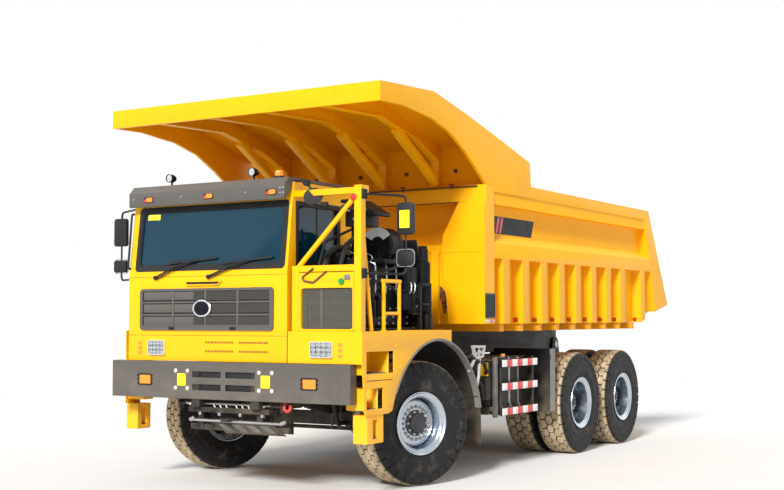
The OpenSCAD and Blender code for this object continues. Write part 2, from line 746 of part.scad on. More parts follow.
// Wheels, drawn with the spin axis along X and the middle plane of the tyre at x = 0
module tyre() {
  h = tyre_w / 2;
  r = tyre_d / 2;
  f = flange_d / 2;
  rotate([0, 90, 0]) rotate_extrude($fn = 96) polygon([
    [bead_d / 2, -h + 25], [f, -h + 25], [f + 90, -h], [r - 110, -h], [r - 30, -h + 15], [r, -h + 45],
    [r, h - 45], [r - 30, h - 15], [r - 110, h], [f + 90, h], [f, h - 25], [bead_d / 2, h - 25]
  ]);
}

rim_wall = 14;

module rim_barrel() {
  h = tyre_w / 2;
  b = bead_d / 2;
  rotate([0, 90, 0]) rotate_extrude($fn = 96) polygon([
    [b - rim_wall, -h], [flange_d / 2, -h], [flange_d / 2, -h + 24], [b - seat_gap, -h + 24],
    [b - seat_gap, h - 24], [flange_d / 2, h - 24], [flange_d / 2, h], [b - rim_wall, h]
  ]);
}

module disc(x0, x1, d0, d1) translate([x0, 0, 0]) rotate([0, 90, 0]) difference() {
  cylinder(d = d1, h = x1 - x0);
  translate([0, 0, -1]) cylinder(d = d0, h = x1 - x0 + 2);
}

// Hub of a front wheel: its face is a little behind the outer flange
module front_rim() {
  rim_barrel();
  bore = spindle_d + 2 * pin_gap;
  disc(60, 84, bore, bead_d - 2 * rim_wall + 1);
  disc(-120, 60 + front_hub_h, bore, 300);
  disc(60 + front_hub_h, 80 + front_hub_h, 0, 240);
}
front_hub_h = 60;

// Hub of a rear twin: two rims on one drum, with the outer disc deep inside
module rear_rim() {
  bore = spindle_d + 2 * pin_gap;
  rim_barrel();
  translate([-twin_spacing, 0, 0]) rim_barrel();
  disc(-170, -146, bore, bead_d - 2 * rim_wall + 1);
  disc(-twin_spacing + 120, -twin_spacing + 144, bore, bead_d - 2 * rim_wall + 1);
  disc(-twin_spacing - 150, 30, bore, 330);
  disc(30, 60, 0, 280);
}

module at_rear(side, y) translate([side * outer_twin_x, y, axle_z]) scale([side, 1, 1]) children();
module at_front(side) at_kingpin(side) translate([front_offset, 0, 0]) children();

module twin_tyres() {
  tyre();
  translate([-twin_spacing, 0, 0]) tyre();
}

module tyre_front_left() color(RUBBER) at_front(1) tyre();
module tyre_front_right() color(RUBBER) at_front(-1) tyre();
module tyre_mid_left() color(RUBBER) at_rear(1, rear_axle_y) twin_tyres();
module tyre_mid_right() color(RUBBER) at_rear(-1, rear_axle_y) twin_tyres();
module tyre_rear_left() color(RUBBER) at_rear(1, rear_axle_2_y) twin_tyres();
module tyre_rear_right() color(RUBBER) at_rear(-1, rear_axle_2_y) twin_tyres();
module rim_front_left() color(STEEL) at_front(1) front_rim();
module rim_front_right() color(STEEL) at_front(-1) front_rim();
module rim_mid_left() color(STEEL) at_rear(1, rear_axle_y) rear_rim();
module rim_mid_right() color(STEEL) at_rear(-1, rear_axle_y) rear_rim();
module rim_rear_left() color(STEEL) at_rear(1, rear_axle_2_y) rear_rim();
module rim_rear_right() color(STEEL) at_rear(-1, rear_axle_2_y) rear_rim();

// Body
module side_outline() polygon([
  [wall_y, floor_z], [wall_y, rail_top_z], [rail_end_y, rail_top_z], [tail_y, tail_z], [ramp_y, floor_z]
]);

beam_z = 2780;
beam_top_z = 2980;
recess_z = 3480;
cap_z = 3640;
canopy_back_y = -690;
box_top_z = 3720;

module body_shell() color(YELLOW) {
  along_x(-side_wall_x, side_wall_x) polygon([
    [wall_y + body_t, floor_z], [ramp_y, floor_z], [tail_y, tail_z], [tail_y, tail_z + body_t],
    [ramp_y, floor_z + body_t], [wall_y + body_t, floor_z + body_t]
  ]);
  both_sides() intersection() {
    along_x(side_wall_x - body_t, body_x) side_outline();
    union() {
      span([side_wall_x - body_t, wall_y, floor_z], [side_wall_x, tail_y, rail_top_z]);
      // Top rail and its cap
      span([side_wall_x - body_t, wall_y, recess_z], [body_x - 15, tail_y, cap_z]);
      span([side_wall_x - 40, canopy_back_y, cap_z], [body_x, tail_y, rail_top_z]);
      // Middle beam with a sloping top
      along_y(wall_y, tail_y) polygon([
        [side_wall_x, beam_z], [body_x, beam_z], [body_x, beam_top_z], [side_wall_x, beam_top_z + 120]
      ]);
      // Ribs of the lower wall
      for (i = [0:7])
        span([side_wall_x, rib_first_y - rib_w + i * rib_pitch, floor_z],
             [body_x, rib_first_y + i * rib_pitch, beam_z]);
      span([side_wall_x, 3505, floor_z], [body_x, 3705, beam_z]);
      // Tail post along the sloping edge
      along_x(side_wall_x, body_x) polygon([
        [rail_end_y - 250, rail_top_z], [rail_end_y, rail_top_z], [tail_y, tail_z],
        [ramp_y + 700, tail_z - 120], [ramp_y + 500, beam_z]
      ]);
    }
  }
}

module body_front() color(YELLOW) {
  span([-side_wall_x + body_t, wall_y, floor_z], [side_wall_x - body_t, wall_y + body_t, crease_z]);
  // Top box rail and shelf beam across the front
  span([-body_x, corner_y + 45, recess_z + 10], [body_x, wall_y, box_top_z]);
  span([-side_wall_x, corner_y + 45, 2860], [side_wall_x, wall_y, 2960]);
  both_sides() {
    // Lower boxes beside the hoist and the corner posts
    span([380, corner_y + 60, floor_z], [side_wall_x, wall_y, 2860]);
    along_y(corner_y, wall_y) polygon([
      [1500, floor_z], [body_x, floor_z], [body_x, recess_z + 10], [1640, recess_z + 10], [1420, 3080], [1400, 2860]
    ]);
    span([1220, corner_y + 20, floor_z], [1330, wall_y, 2860]);
  }
  // Cheeks that hold the hoist's upper pin
  both_sides() along_x(hoist_cheek_x + turn_gap, hoist_cheek_x + turn_gap + 35) {
    translate([hoist_y, hoist_eye_z]) circle(d = 170);
    translate([hoist_y, hoist_eye_z - 85]) square([corner_y + 45 - hoist_y, 170]);
  }
}

sheet_t = 14;
canopy_t = 40;

// Highest line across the canopy
knee_y = -3385;
// Top line of the canopy from its lip to the front wall, as [y, z]
canopy_line = [[lip_y, lip_z], [knee_y, knee_z], [wall_y + body_t, crease_z + sheet_t]];
canopy_rib_x = [410, 1230];
lip_t = 20;
rib_web = 14;
rib_flange = 110;

// Height just under the canopy's sheet at a place along the truck
function under_z(y) = lookup(y, canopy_line) - sheet_t - seat_gap;

// Lower edge of a canopy rib from the lip to its foot on the front wall, as [y, z]
rib_line = [[lip_y + lip_t + seat_gap, 4440], [knee_y, 4480], [-2500, 4300], [wall_y - 150, 4080], [wall_y - 180, 3740]];

module canopy_rib(x) {
  along_x(x - rib_web / 2, x + rib_web / 2) polygon(concat(
    [for (y = [rib_line[0].x, knee_y, wall_y - seat_gap]) [y, under_z(y)]],
    [[wall_y - seat_gap, rib_line[4].y]], [for (i = [4:-1:0]) rib_line[i]]));
  along_x(x - rib_flange / 2, x + rib_flange / 2) polygon(concat(
    rib_line, [for (i = [4:-1:0]) rib_line[i] - [i < 3 ? 0 : rib_web, i < 4 ? rib_web : 0]]));
  strut([x, -3000, 4380], [x, wall_y - 150, 3790], 100, 90);
}

module canopy() color(ORANGE) {
  both_sides() along_x(body_x - canopy_t, body_x) polygon([
    [lip_y, lip_z], [knee_y, knee_z], [-2475, 4530], [-1635, 4340], [canopy_back_y - 45, 4130],
    [canopy_back_y, cap_z], [wall_y, cap_z], [wall_y, box_top_z], [-2045, box_top_z], [-2315, 3900], [-2585, 4070],
    [-2995, 4270], [-3435, 4380], [-4085, 4440], [lip_y, lip_z - lip_h]
  ]);
  along_x(-body_x + canopy_t, body_x - canopy_t) polygon(concat(
    canopy_line, [for (i = [2:-1:0]) canopy_line[i] - [0, sheet_t]]));
  span([-body_x + canopy_t, lip_y, lip_z - lip_h], [body_x - canopy_t, lip_y + lip_t, lip_z - sheet_t / 2]);
}

module canopy_ribs() color(ORANGE) both_sides() for (x = canopy_rib_x) canopy_rib(x);

beam_w = rail_w - 2 * turn_gap;
underframe_z = 1480;

module underframe() color(YELLOW) {
  both_sides() along_x(rail_in + turn_gap, rail_x - turn_gap) difference() {
    union() {
      polygon([[wall_y - 20, underframe_z + 80], [wall_y + 300, underframe_z], [hinge_y, underframe_z],
               [hinge_y + 100, hinge_z], [hinge_y + 100, floor_z], [wall_y - 20, floor_z]]);
      translate([hinge_y, hinge_z]) circle(d = hinge_boss_d - 40);
    }
    translate([hinge_y, hinge_z]) circle(d = hinge_d + 2 * pin_gap);
  }
  for (i = [0:8])
    span([-1950, rib_first_y - 150 + i * rib_pitch, floor_z - 100],
         [1950, rib_first_y - 50 + i * rib_pitch, floor_z]);
}

// Hoist
stage_z0 = hoist_foot_z + 135;
barrel_top = 2700;
stage_1_d = barrel_d - 2 * tube_wall - 2 * tube_gap;
stage_2_d = stage_1_d - 2 * tube_wall - 2 * tube_gap;
rod_d = stage_2_d - 2 * tube_wall - 2 * tube_gap;

module tube(z0, z1, d) translate([0, hoist_y, z0]) difference() {
  cylinder(d = d, h = z1 - z0);
  translate([0, 0, -1]) cylinder(d = d - 2 * tube_wall, h = z1 - z0 + 2);
}

module hoist_barrel() color(BLACK) {
  tube(stage_z0, barrel_top, barrel_d);
  translate([0, hoist_y, stage_z0 - 40]) cylinder(d = barrel_d, h = 45);
  difference() {
    union() {
      translate([-hoist_cheek_x, hoist_y, hoist_foot_z]) rotate([0, 90, 0]) cylinder(d = 150, h = 2 * hoist_cheek_x);
      span([-hoist_cheek_x, hoist_y - 70, hoist_foot_z], [hoist_cheek_x, hoist_y + 70, stage_z0 - 40]);
    }
    translate([-hoist_cheek_x - 1, hoist_y, hoist_foot_z]) rotate([0, 90, 0])
      cylinder(d = hoist_pin_d + 2 * pin_gap, h = 2 * hoist_cheek_x + 2);
  }
}

module hoist_stage_1() color(STEEL) tube(stage_z0 + 30, barrel_top + 30, stage_1_d);
module hoist_stage_2() color(STEEL) tube(stage_z0 + 40, barrel_top + 60, stage_2_d);

module hoist_rod() color(STEEL) {
  neck_x = hoist_cheek_x - 10;
  translate([0, hoist_y, stage_z0 + 50]) cylinder(d = rod_d, h = hoist_eye_z - 130 - stage_z0 - 50);
  span([-neck_x, hoist_y - 55, hoist_eye_z - 140], [neck_x, hoist_y + 55, hoist_eye_z]);
  translate([-neck_x, hoist_y, hoist_eye_z]) rotate([0, 90, 0]) cylinder(d = 150, h = 2 * neck_x);
}

// Door
door_z0 = deck_z + 40 + door_gap;
door_z1 = head_z + 60 - door_gap;

module cab_door() color(YELLOW) difference() {
  union() {
    span([-cab_right_x, door_front_y, door_z0], [-cab_right_x + cab_wall, door_back_y, door_z1]);
    for (z = door_hinges) {
      translate([door_pin_x, door_pin_y, z]) cylinder(d = 28, h = knuckle_h);
      span([-cab_right_x - 10, door_pin_y + 5, z], [-cab_right_x, door_pin_y + 90, z + knuckle_h]);
    }
  }
  for (z = door_hinges)
    translate([door_pin_x, door_pin_y, z - 1]) cylinder(d = door_pin_d + 2 * pin_gap, h = knuckle_h + 2);
  span([-cab_right_x - 1, door_front_y + 80, sill_z], [-cab_right_x + cab_wall + 1, door_back_y - 80, head_z - 40]);
}

module door_glass() color(GLASS)
  span([-cab_right_x + 26, door_front_y + 80 + seat_gap, sill_z + seat_gap],
       [-cab_right_x + 26 + glass_t, door_back_y - 80 - seat_gap, head_z - 40 - seat_gap]);

frame_rails();
cross_members();
frame_brackets();
pivot_brackets();
front_bumper();
tow_bar();
deck();
step_panels();
mudguards();
guard_frame();
radiator();
engine();
air_intake();
exhaust();
driveline();
cab_shell();
cab_roof();
cab_glass();
grille_panel();
seats();
dashboard();
mirrors();
work_lamps();
amber_lamps();
tail_lamps();
fuel_tank();
side_guards();
hydraulic_tank();
front_axle();
rear_axles();
springs();
body_shell();
body_front();
canopy();
canopy_ribs();
underframe();
hoist_barrel();
hoist_stage_1();
hoist_stage_2();
hoist_rod();
knuckle_left();
knuckle_right();
tie_rod();
tyre_front_left();
tyre_front_right();
tyre_mid_left();
tyre_mid_right();
tyre_rear_left();
tyre_rear_right();
rim_front_left();
rim_front_right();
rim_mid_left();
rim_mid_right();
rim_rear_left();
rim_rear_right();
cab_door();
door_glass();
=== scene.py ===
"""Paint, rubber, glass and small parts of a six-wheel mining dump truck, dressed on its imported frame.

Metres throughout. X points to the truck's left, Y to its tail and Z up, with the ground at z = 0.
"""

import json
import math

import bmesh
import bpy
from mathutils import Matrix, Vector

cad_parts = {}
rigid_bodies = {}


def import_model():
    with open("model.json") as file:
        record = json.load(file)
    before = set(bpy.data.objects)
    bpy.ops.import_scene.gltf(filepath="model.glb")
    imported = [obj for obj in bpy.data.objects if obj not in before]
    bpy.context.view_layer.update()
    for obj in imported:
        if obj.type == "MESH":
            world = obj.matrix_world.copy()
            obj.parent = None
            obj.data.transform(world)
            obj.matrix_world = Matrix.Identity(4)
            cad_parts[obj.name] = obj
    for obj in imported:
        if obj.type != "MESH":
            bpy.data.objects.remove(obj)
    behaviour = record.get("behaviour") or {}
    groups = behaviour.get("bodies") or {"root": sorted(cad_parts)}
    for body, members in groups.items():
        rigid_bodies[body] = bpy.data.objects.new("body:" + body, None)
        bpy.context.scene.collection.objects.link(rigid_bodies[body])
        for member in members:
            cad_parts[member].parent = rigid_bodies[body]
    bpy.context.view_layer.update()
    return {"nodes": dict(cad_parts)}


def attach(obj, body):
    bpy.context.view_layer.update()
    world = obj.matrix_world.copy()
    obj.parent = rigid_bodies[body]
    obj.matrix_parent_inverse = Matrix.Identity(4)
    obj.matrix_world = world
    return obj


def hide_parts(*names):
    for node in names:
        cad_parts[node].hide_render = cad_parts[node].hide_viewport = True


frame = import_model()
nodes = frame["nodes"]

CHASSIS, TIPPING, DOOR = "chassis", "tipping_body", "door"
TAU = 2 * math.pi

# ---------------------------------------------------------------- finishes


def add_node(tree, kind, inputs=(), **settings):
    """A new node with its settings and inputs, each a value or another node's socket."""
    made = tree.nodes.new(kind)
    for key, value in settings.items():
        setattr(made, key, value)
    for key, value in dict(inputs).items():
        fill(tree, made.inputs[key], value)
    return made


def fill(tree, socket, value):
    if isinstance(value, bpy.types.NodeSocket):
        tree.links.new(value, socket)
    else:
        socket.default_value = value


class Finish:
    """A procedural material on Object coordinates, built up from a Principled shader."""

    def __init__(self, name, **plain):
        self.material = bpy.data.materials.new(name)
        self.material.use_nodes = True
        self.tree = self.material.node_tree
        self.shader = self.tree.nodes["Principled BSDF"]
        self.place = self.tree.nodes.new("ShaderNodeTexCoord").outputs["Object"]
        for socket, value in plain.items():
            self.shader.inputs[socket.replace("_", " ")].default_value = value

    def node(self, kind, inputs=(), **settings):
        return add_node(self.tree, kind, inputs, **settings)

    def noise(self, scale, detail=3.0, roughness=0.55, place=None):
        return self.node("ShaderNodeTexNoise", {
            "Vector": place or self.place, "Scale": scale, "Detail": detail, "Roughness": roughness}).outputs["Fac"]

    def wave(self, scale, direction):
        return self.node("ShaderNodeTexWave", {"Vector": self.place, "Scale": scale},
                         bands_direction=direction).outputs["Fac"]

    def part_of(self, vector, letter):
        return self.node("ShaderNodeSeparateXYZ", {"Vector": vector}).outputs[letter]

    def between(self, value, low, high, out_low=0.0, out_high=1.0):
        return self.node("ShaderNodeMapRange", {"Value": value, "From Min": low, "From Max": high,
                                                "To Min": out_low, "To Max": out_high}).outputs["Result"]

    def sum(self, how, a, b):
        return self.node("ShaderNodeMath", {0: a, 1: b}, operation=how).outputs["Value"]

    def mix(self, share, a, b):
        made = self.node("ShaderNodeMix", {0: share}, data_type="RGBA")
        ends = [s for s in made.inputs if s.type == "RGBA"]   # the sockets of other types have the same names
        fill(self.tree, ends[0], a)
        fill(self.tree, ends[1], b)
        return next(s for s in made.outputs if s.type == "RGBA")

    def done(self, colour, gloss=None, bump=None):
        """Sets colour, roughness and a bump of (height, strength, distance) on the shader."""
        fill(self.tree, self.shader.inputs["Base Color"], colour)
        if gloss:
            fill(self.tree, self.shader.inputs["Roughness"], gloss)
        if bump:
            made = self.node("ShaderNodeBump", dict(zip(("Height", "Strength", "Distance"), bump)))
            fill(self.tree, self.shader.inputs["Normal"], made.outputs["Normal"])
        return self.material


def shade(colour, factor=1.0):
    """A colour made darker or lighter by a factor, with its alpha."""
    return (*[min(1.0, c * factor) for c in colour], 1.0)


SAND = shade((0.47, 0.36, 0.23))
NEAR_BLACK = (0.013, 0.0125, 0.013)


def painted(name, colour, rough, dust=0.3, coat=0.25, grime=0.12, shine=0.5):
    """Sprayed paint: slow changes of tone, dust on what faces up and low down, a faint orange peel."""
    f = Finish(name, Coat_Weight=coat, Coat_Roughness=0.12, Specular_IOR_Level=shine)
    tone = f.mix(f.noise(1.3, 4), shade(colour, 0.9), shade(colour, 1.06))
    runs = f.node("ShaderNodeMapping", {"Vector": f.place, "Scale": (9.0, 9.0, 0.8)}).outputs["Vector"]
    streaks = f.between(f.noise(1.0, 5, 0.6, runs), 0.52, 0.78)
    dirty = f.mix(f.sum("MULTIPLY", streaks, grime), tone, shade(colour, 0.45))
    low = f.between(f.part_of(f.place, "Z"), 1.5, 0.5)
    up = f.between(f.part_of(f.node("ShaderNodeNewGeometry").outputs["Normal"], "Z"), 0.55, 0.95, 0.0, 0.7)
    patches = f.between(f.noise(3.5, 6, 0.65), 0.35, 0.7)
    cover = f.sum("MULTIPLY", f.sum("MULTIPLY", f.sum("MAXIMUM", low, up), patches), dust)
    gloss = f.between(f.noise(5.0, 4), 0.3, 0.7, rough - 0.05, rough + 0.08)
    return f.done(f.mix(cover, dirty, SAND), f.sum("ADD", gloss, f.sum("MULTIPLY", cover, 0.5)),
                  (f.noise(55.0, 2), 0.12, 0.002))


def painted_shade_below(name, low, high, split, rough):
    """Paint whose colour changes at a height; the low colour is painted shade."""
    f = Finish(name, Specular_IOR_Level=0.3)
    tone = f.mix(f.between(f.part_of(f.place, "Z"), split, split + 0.004), shade(low), shade(high))
    return f.done(f.mix(f.between(f.noise(1.3, 4), 0.3, 0.7, 0.0, 0.25), tone, shade((0.02, 0.012, 0.006))),
                  f.between(f.noise(5.0, 4), 0.3, 0.7, rough - 0.05, rough + 0.08), (f.noise(55.0, 2), 0.12, 0.002))


def rubber(name, colour, dusted, share=None):
    """Dusty rubber. Without a share, the piece's own "dust" attribute says where the dust lies."""
    f = Finish(name, Specular_IOR_Level=0.2)
    clean, patches = shade(colour), f.noise(7.0, 6, 0.7)
    if share is None:
        lies = f.node("ShaderNodeAttribute", attribute_name="dust").outputs["Fac"]
        cover = f.sum("MULTIPLY", lies, f.between(patches, 0.3, 0.6, 0.45, 1.0))
    else:
        cover = f.between(patches, 0.62 - share * 0.5, 0.8 - share * 0.3)
        clean = f.mix(f.noise(30.0, 3), shade(colour, 0.8), clean)
    return f.done(f.mix(cover, clean, shade(dusted)), f.between(cover, 0.0, 1.0, 0.62, 0.92),
                  (f.noise(90.0, 3), 0.35, 0.003))


def metal(name, colour, rough, dust=0.1, metallic=1.0):
    f = Finish(name, Metallic=metallic)
    cover = f.sum("MULTIPLY", f.between(f.noise(6.0, 6, 0.65), 0.45, 0.75), dust)
    return f.done(f.mix(cover, f.mix(f.noise(3.0), shade(colour, 0.85), shade(colour)), SAND),
                  f.between(f.noise(12.0, 4), 0.3, 0.7, rough - 0.06, rough + 0.1), (f.noise(70.0, 2), 0.08, 0.001))


def plastic(name, colour, rough):
    f = Finish(name, Specular_IOR_Level=0.3)
    return f.done(f.mix(f.noise(2.5), shade(colour, 0.8), shade(colour, 1.15)),
                  f.between(f.noise(9.0), 0.3, 0.7, rough - 0.06, rough + 0.06), (f.noise(260.0, 2), 0.25, 0.0015))


def lens(name, colour):
    """Moulded lamp lens: a coloured gloss skin over fine ribs."""
    f = Finish(name, Roughness=0.12, Coat_Weight=0.6)
    ribs = f.wave(40.0, "X")
    return f.done(f.mix(ribs, shade(colour, 0.72), shade(colour)), bump=(ribs, 0.3, 0.003))


def tinted_glass(name, colour, clear, shine=0.5):
    f = Finish(name, Roughness=0.03, IOR=1.45, Transmission_Weight=clear, Specular_IOR_Level=shine)
    return f.done(f.mix(f.between(f.noise(1.6, 4), 0.3, 0.75), shade(colour), shade(colour, 0.82)))


def woven(name, colour):
    f = Finish(name, Roughness=0.9, Sheen_Weight=0.3)
    cross = f.sum("MAXIMUM", f.wave(90.0, "X"), f.wave(90.0, "Y"))
    return f.done(f.mix(cross, shade(colour, 0.5), shade(colour)), bump=(cross, 0.4, 0.002))


yellow = painted("yellow_paint", (1.0, 0.47, 0.0), 0.34, dust=0.2, coat=0.12, grime=0.08, shine=0.3)
bed_yellow = painted("bed_yellow", (1.0, 0.45, 0.0), 0.42, dust=0.22, coat=0.05, shine=0.25)
warm_grey = painted("warm_grey_paint", (0.098, 0.088, 0.078), 0.42, dust=0.35, coat=0.1, shine=0.3)
black = painted("black_paint", NEAR_BLACK, 0.48, coat=0.04, grime=0.05, shine=0.2)
engine_black = painted("engine_paint", (0.009, 0.009, 0.01), 0.4, dust=0.04, coat=0.03, grime=0.05, shine=0.12)
# The underframe is near-black below 1.826 m as painted shade, and a darker orange above it.
under_paint = painted_shade_below("under_paint", NEAR_BLACK, (0.9, 0.38, 0.0), 1.826, 0.5)
cap_green = plastic("cap_green", (0.01, 0.3, 0.06), 0.4)
trim = plastic("black_trim", (0.014, 0.014, 0.015), 0.5)
cab_trim = plastic("cab_trim", (0.1, 0.1, 0.105), 0.62)
tread_rubber = rubber("tread_rubber", (0.02, 0.019, 0.018), (0.6, 0.47, 0.3))
wall_rubber = rubber("sidewall_rubber", (0.018, 0.017, 0.018), (0.1, 0.085, 0.065), 0.2)
hose_rubber = rubber("hose_rubber", (0.02, 0.02, 0.02), (0.1, 0.085, 0.06), 0.15)
# The rim silver is tinted blue: a painted reflection of sky on the rims' own silver paint.
sky_tinted_silver = metal("wheel_silver", (0.56, 0.62, 0.69), 0.22, dust=0.06, metallic=0.95)
hub_grey = metal("hub_grey", (0.055, 0.058, 0.065), 0.45, dust=0.12, metallic=0.5)
chrome = metal("bright_rod", (0.85, 0.86, 0.88), 0.12, dust=0.03)
cast = metal("cast_iron", (0.14, 0.135, 0.13), 0.55, dust=0.35, metallic=0.6)
steel = metal("bare_steel", (0.52, 0.52, 0.52), 0.38, dust=0.15)
reflector = metal("lamp_reflector", (0.9, 0.91, 0.92), 0.16, dust=0.02)
# Very dark teal glass: its own tint, made darker as painted shade of the cab's inside seen through it.
window_glass = tinted_glass("window_glass", (0.001, 0.085, 0.15), 0.66, shine=0.08)
mirror_glass = metal("mirror_glass", (0.88, 0.9, 0.92), 0.03, dust=0.02)
lamp_glass = tinted_glass("lamp_glass", (0.92, 0.95, 0.96), 0.92)
amber = lens("amber_lens", (1.0, 0.3, 0.01))
red = lens("red_lens", (0.75, 0.02, 0.015))
red_paint = painted("red_paint", (0.62, 0.03, 0.02), 0.4, dust=0.2)
seat_cloth = woven("seat_cloth", (0.07, 0.07, 0.08))
pale_plate = painted("pale_plate", (0.62, 0.58, 0.5), 0.45, dust=0.2)
olive_plate = painted("yellow_plate", (0.72, 0.62, 0.02), 0.4, dust=0.1)
lip_rubber = plastic("lip_rubber", (0.2, 0.195, 0.185), 0.6)
mesh_grey = painted("mesh_grey", (0.105, 0.096, 0.08), 0.5, dust=0.2, coat=0.0)
brown_steel = painted("brown_steel", (0.11, 0.045, 0.018), 0.5, dust=0.2, coat=0.05)
rust_red = painted("rust_red", (0.33, 0.085, 0.03), 0.55, dust=0.2, coat=0.0)
bright_plate = painted("bright_plate", (0.95, 0.85, 0.01), 0.35, dust=0.05)
# Pale plate tinted blue and made very bright: painted light on a plate that sits in shade.
blue_plate = painted("blue_plate", (0.8, 0.95, 1.0), 0.35, dust=0.02)
olive_steel = painted("olive_steel", (0.02, 0.028, 0.024), 0.4, dust=0.05, shine=0.2)
gloss_black = painted("decal_black", (0.006, 0.006, 0.012), 0.4, dust=0.05, coat=0.0, shine=0.15)
worn_steel = metal("worn_steel", (0.42, 0.43, 0.45), 0.42, dust=0.2)
pale_steel = painted("pale_steel", (0.48, 0.47, 0.45), 0.45, dust=0.2)
plate_grey = painted("plate_grey", (0.17, 0.165, 0.155), 0.5)
sign_red = painted("sign_red", (0.7, 0.012, 0.015), 0.35, dust=0.05)
sign_white = painted("sign_white", (0.86, 0.85, 0.83), 0.35, dust=0.08)

# ---------------------------------------------------------------- repeats, by Geometry Nodes


class Repeat:
    """A Geometry Nodes tree that copies the object's own mesh to points that it works out."""

    def __init__(self, name, **inputs):
        self.tree = bpy.data.node_groups.new(name, "GeometryNodeTree")
        face = self.tree.interface
        face.new_socket("Geometry", in_out="INPUT", socket_type="NodeSocketGeometry")
        self.ids = {}
        for label, kind in {**inputs, "Finish": "Material"}.items():
            self.ids[label] = face.new_socket(label, in_out="INPUT", socket_type="NodeSocket" + kind).identifier
        face.new_socket("Geometry", in_out="OUTPUT", socket_type="NodeSocketGeometry")
        self.source = self.tree.nodes.new("NodeGroupInput").outputs
        self.result = self.tree.nodes.new("NodeGroupOutput").inputs

    def node(self, kind, inputs=(), **settings):
        return add_node(self.tree, kind, inputs, **settings).outputs[0]

    def sum(self, how, a, b=0.0):
        return self.node("ShaderNodeMath", {0: a, 1: b}, operation=how)

    def copies(self, count, place, **more):
        points = self.node("GeometryNodePoints", {"Count": count, "Position": place})
        self.end(self.node("GeometryNodeInstanceOnPoints",
                           {"Points": points, "Instance": self.source["Geometry"], **more}))

    def end(self, made):
        real = self.node("GeometryNodeRealizeInstances", {"Geometry": made})
        dressed = self.node("GeometryNodeSetMaterial", {"Geometry": real, "Material": self.source["Finish"]})
        self.tree.links.new(dressed, self.result["Geometry"])

    def grow(self, mesh, finish, **values):
        """The tree's result on a mesh, as a plain mesh; the mesh itself is let go."""
        carrier = bpy.data.objects.new("unit", mesh)
        modifier = carrier.modifiers.new("repeat", "NODES")
        modifier.node_group = self.tree
        for label, value in {**values, "Finish": finish}.items():
            modifier[self.ids[label]] = value
        bpy.context.scene.collection.objects.link(carrier)
        made = bpy.data.meshes.new_from_object(carrier.evaluated_get(bpy.context.evaluated_depsgraph_get()))
        carrier.modifiers.clear()
        bpy.data.objects.remove(carrier)
        bpy.data.meshes.remove(mesh)
        return made


def ring_tree():
    """Copies in a ring round the X axis, the first one straight up."""
    r = Repeat("ring_of_parts", Count="Int", Radius="Float", Phase="Float", Along="Float")
    index = r.node("GeometryNodeInputIndex")
    step = r.sum("DIVIDE", TAU, r.source["Count"])
    angle = r.sum("ADD", r.sum("MULTIPLY", index, step), r.source["Phase"])
    place = r.node("ShaderNodeCombineXYZ", {
        "X": r.source["Along"],
        "Y": r.sum("MULTIPLY", r.sum("SINE", r.sum("MULTIPLY", angle, -1.0)), r.source["Radius"]),
        "Z": r.sum("MULTIPLY", r.sum("COSINE", angle), r.source["Radius"])})
    r.copies(r.source["Count"], place, Rotation=r.node("ShaderNodeCombineXYZ", {"X": angle}))
    return r


def grid_tree():
    """Copies in rows: Across of them a Step apart, and Down such rows a Drop apart."""
    r = Repeat("grid_of_parts", Across="Int", Down="Int", Start="Vector", Step="Vector", Drop="Vector")
    index = r.node("GeometryNodeInputIndex")
    column = r.sum("MODULO", index, r.source["Across"])
    row = r.sum("FLOOR", r.sum("DIVIDE", r.sum("ADD", index, 0.5), r.source["Across"]))
    place = r.source["Start"]
    for vector, times in ((r.source["Step"], column), (r.source["Drop"], row)):
        far = r.node("ShaderNodeVectorMath", {"Vector": vector, "Scale": times}, operation="SCALE")
        place = r.node("ShaderNodeVectorMath", {0: place, 1: far}, operation="ADD")
    r.copies(r.sum("MULTIPLY", r.source["Across"], r.source["Down"]), place)
    return r


def pipe_tree():
    """A round pipe along the unit's edges, its bends eased over the Bend length."""
    r = Repeat("pipe_on_path", Radius="Float", Bend="Float", Sides="Int")
    path = r.node("GeometryNodeMeshToCurve", {"Mesh": r.source["Geometry"]})
    eased = r.node("GeometryNodeFilletCurve", {"Curve": path, "Radius": r.source["Bend"], "Limit Radius": True,
                                               "Count": 5}, mode="POLY")
    round_line = r.node("GeometryNodeCurvePrimitiveCircle", {"Resolution": r.source["Sides"],
                                                             "Radius": r.source["Radius"]})
    r.end(r.node("GeometryNodeCurveToMesh", {"Curve": eased, "Profile Curve": round_line, "Fill Caps": True}))
    return r


ring_of_parts, grid_of_parts, pipe_on_path = ring_tree(), grid_tree(), pipe_tree()

# ---------------------------------------------------------------- mesh tools

ALONG = {"X": Vector((1, 0, 0)), "Y": Vector((0, 1, 0)), "Z": Vector((0, 0, 1))}
MIRROR = Matrix.Scale(-1, 4, ALONG["X"])


def rounded(low, high, radius, steps=5):
    """Outline of a rectangle with round corners."""
    (x0, y0), (x1, y1) = low, high
    points = []
    for cx, cy, start in ((x1 - radius, y1 - radius, 0), (x0 + radius, y1 - radius, 1),
                          (x0 + radius, y0 + radius, 2), (x1 - radius, y0 + radius, 3)):
        for i in range(steps + 1):
            a = (start + i / steps) * math.pi / 2
            points.append((cx + radius * math.cos(a), cy + radius * math.sin(a)))
    return points


def ease_edges(bm, edges, width):
    bmesh.ops.bevel(bm, geom=edges, offset=width, segments=2, profile=0.5, affect="EDGES", clamp_overlap=True)


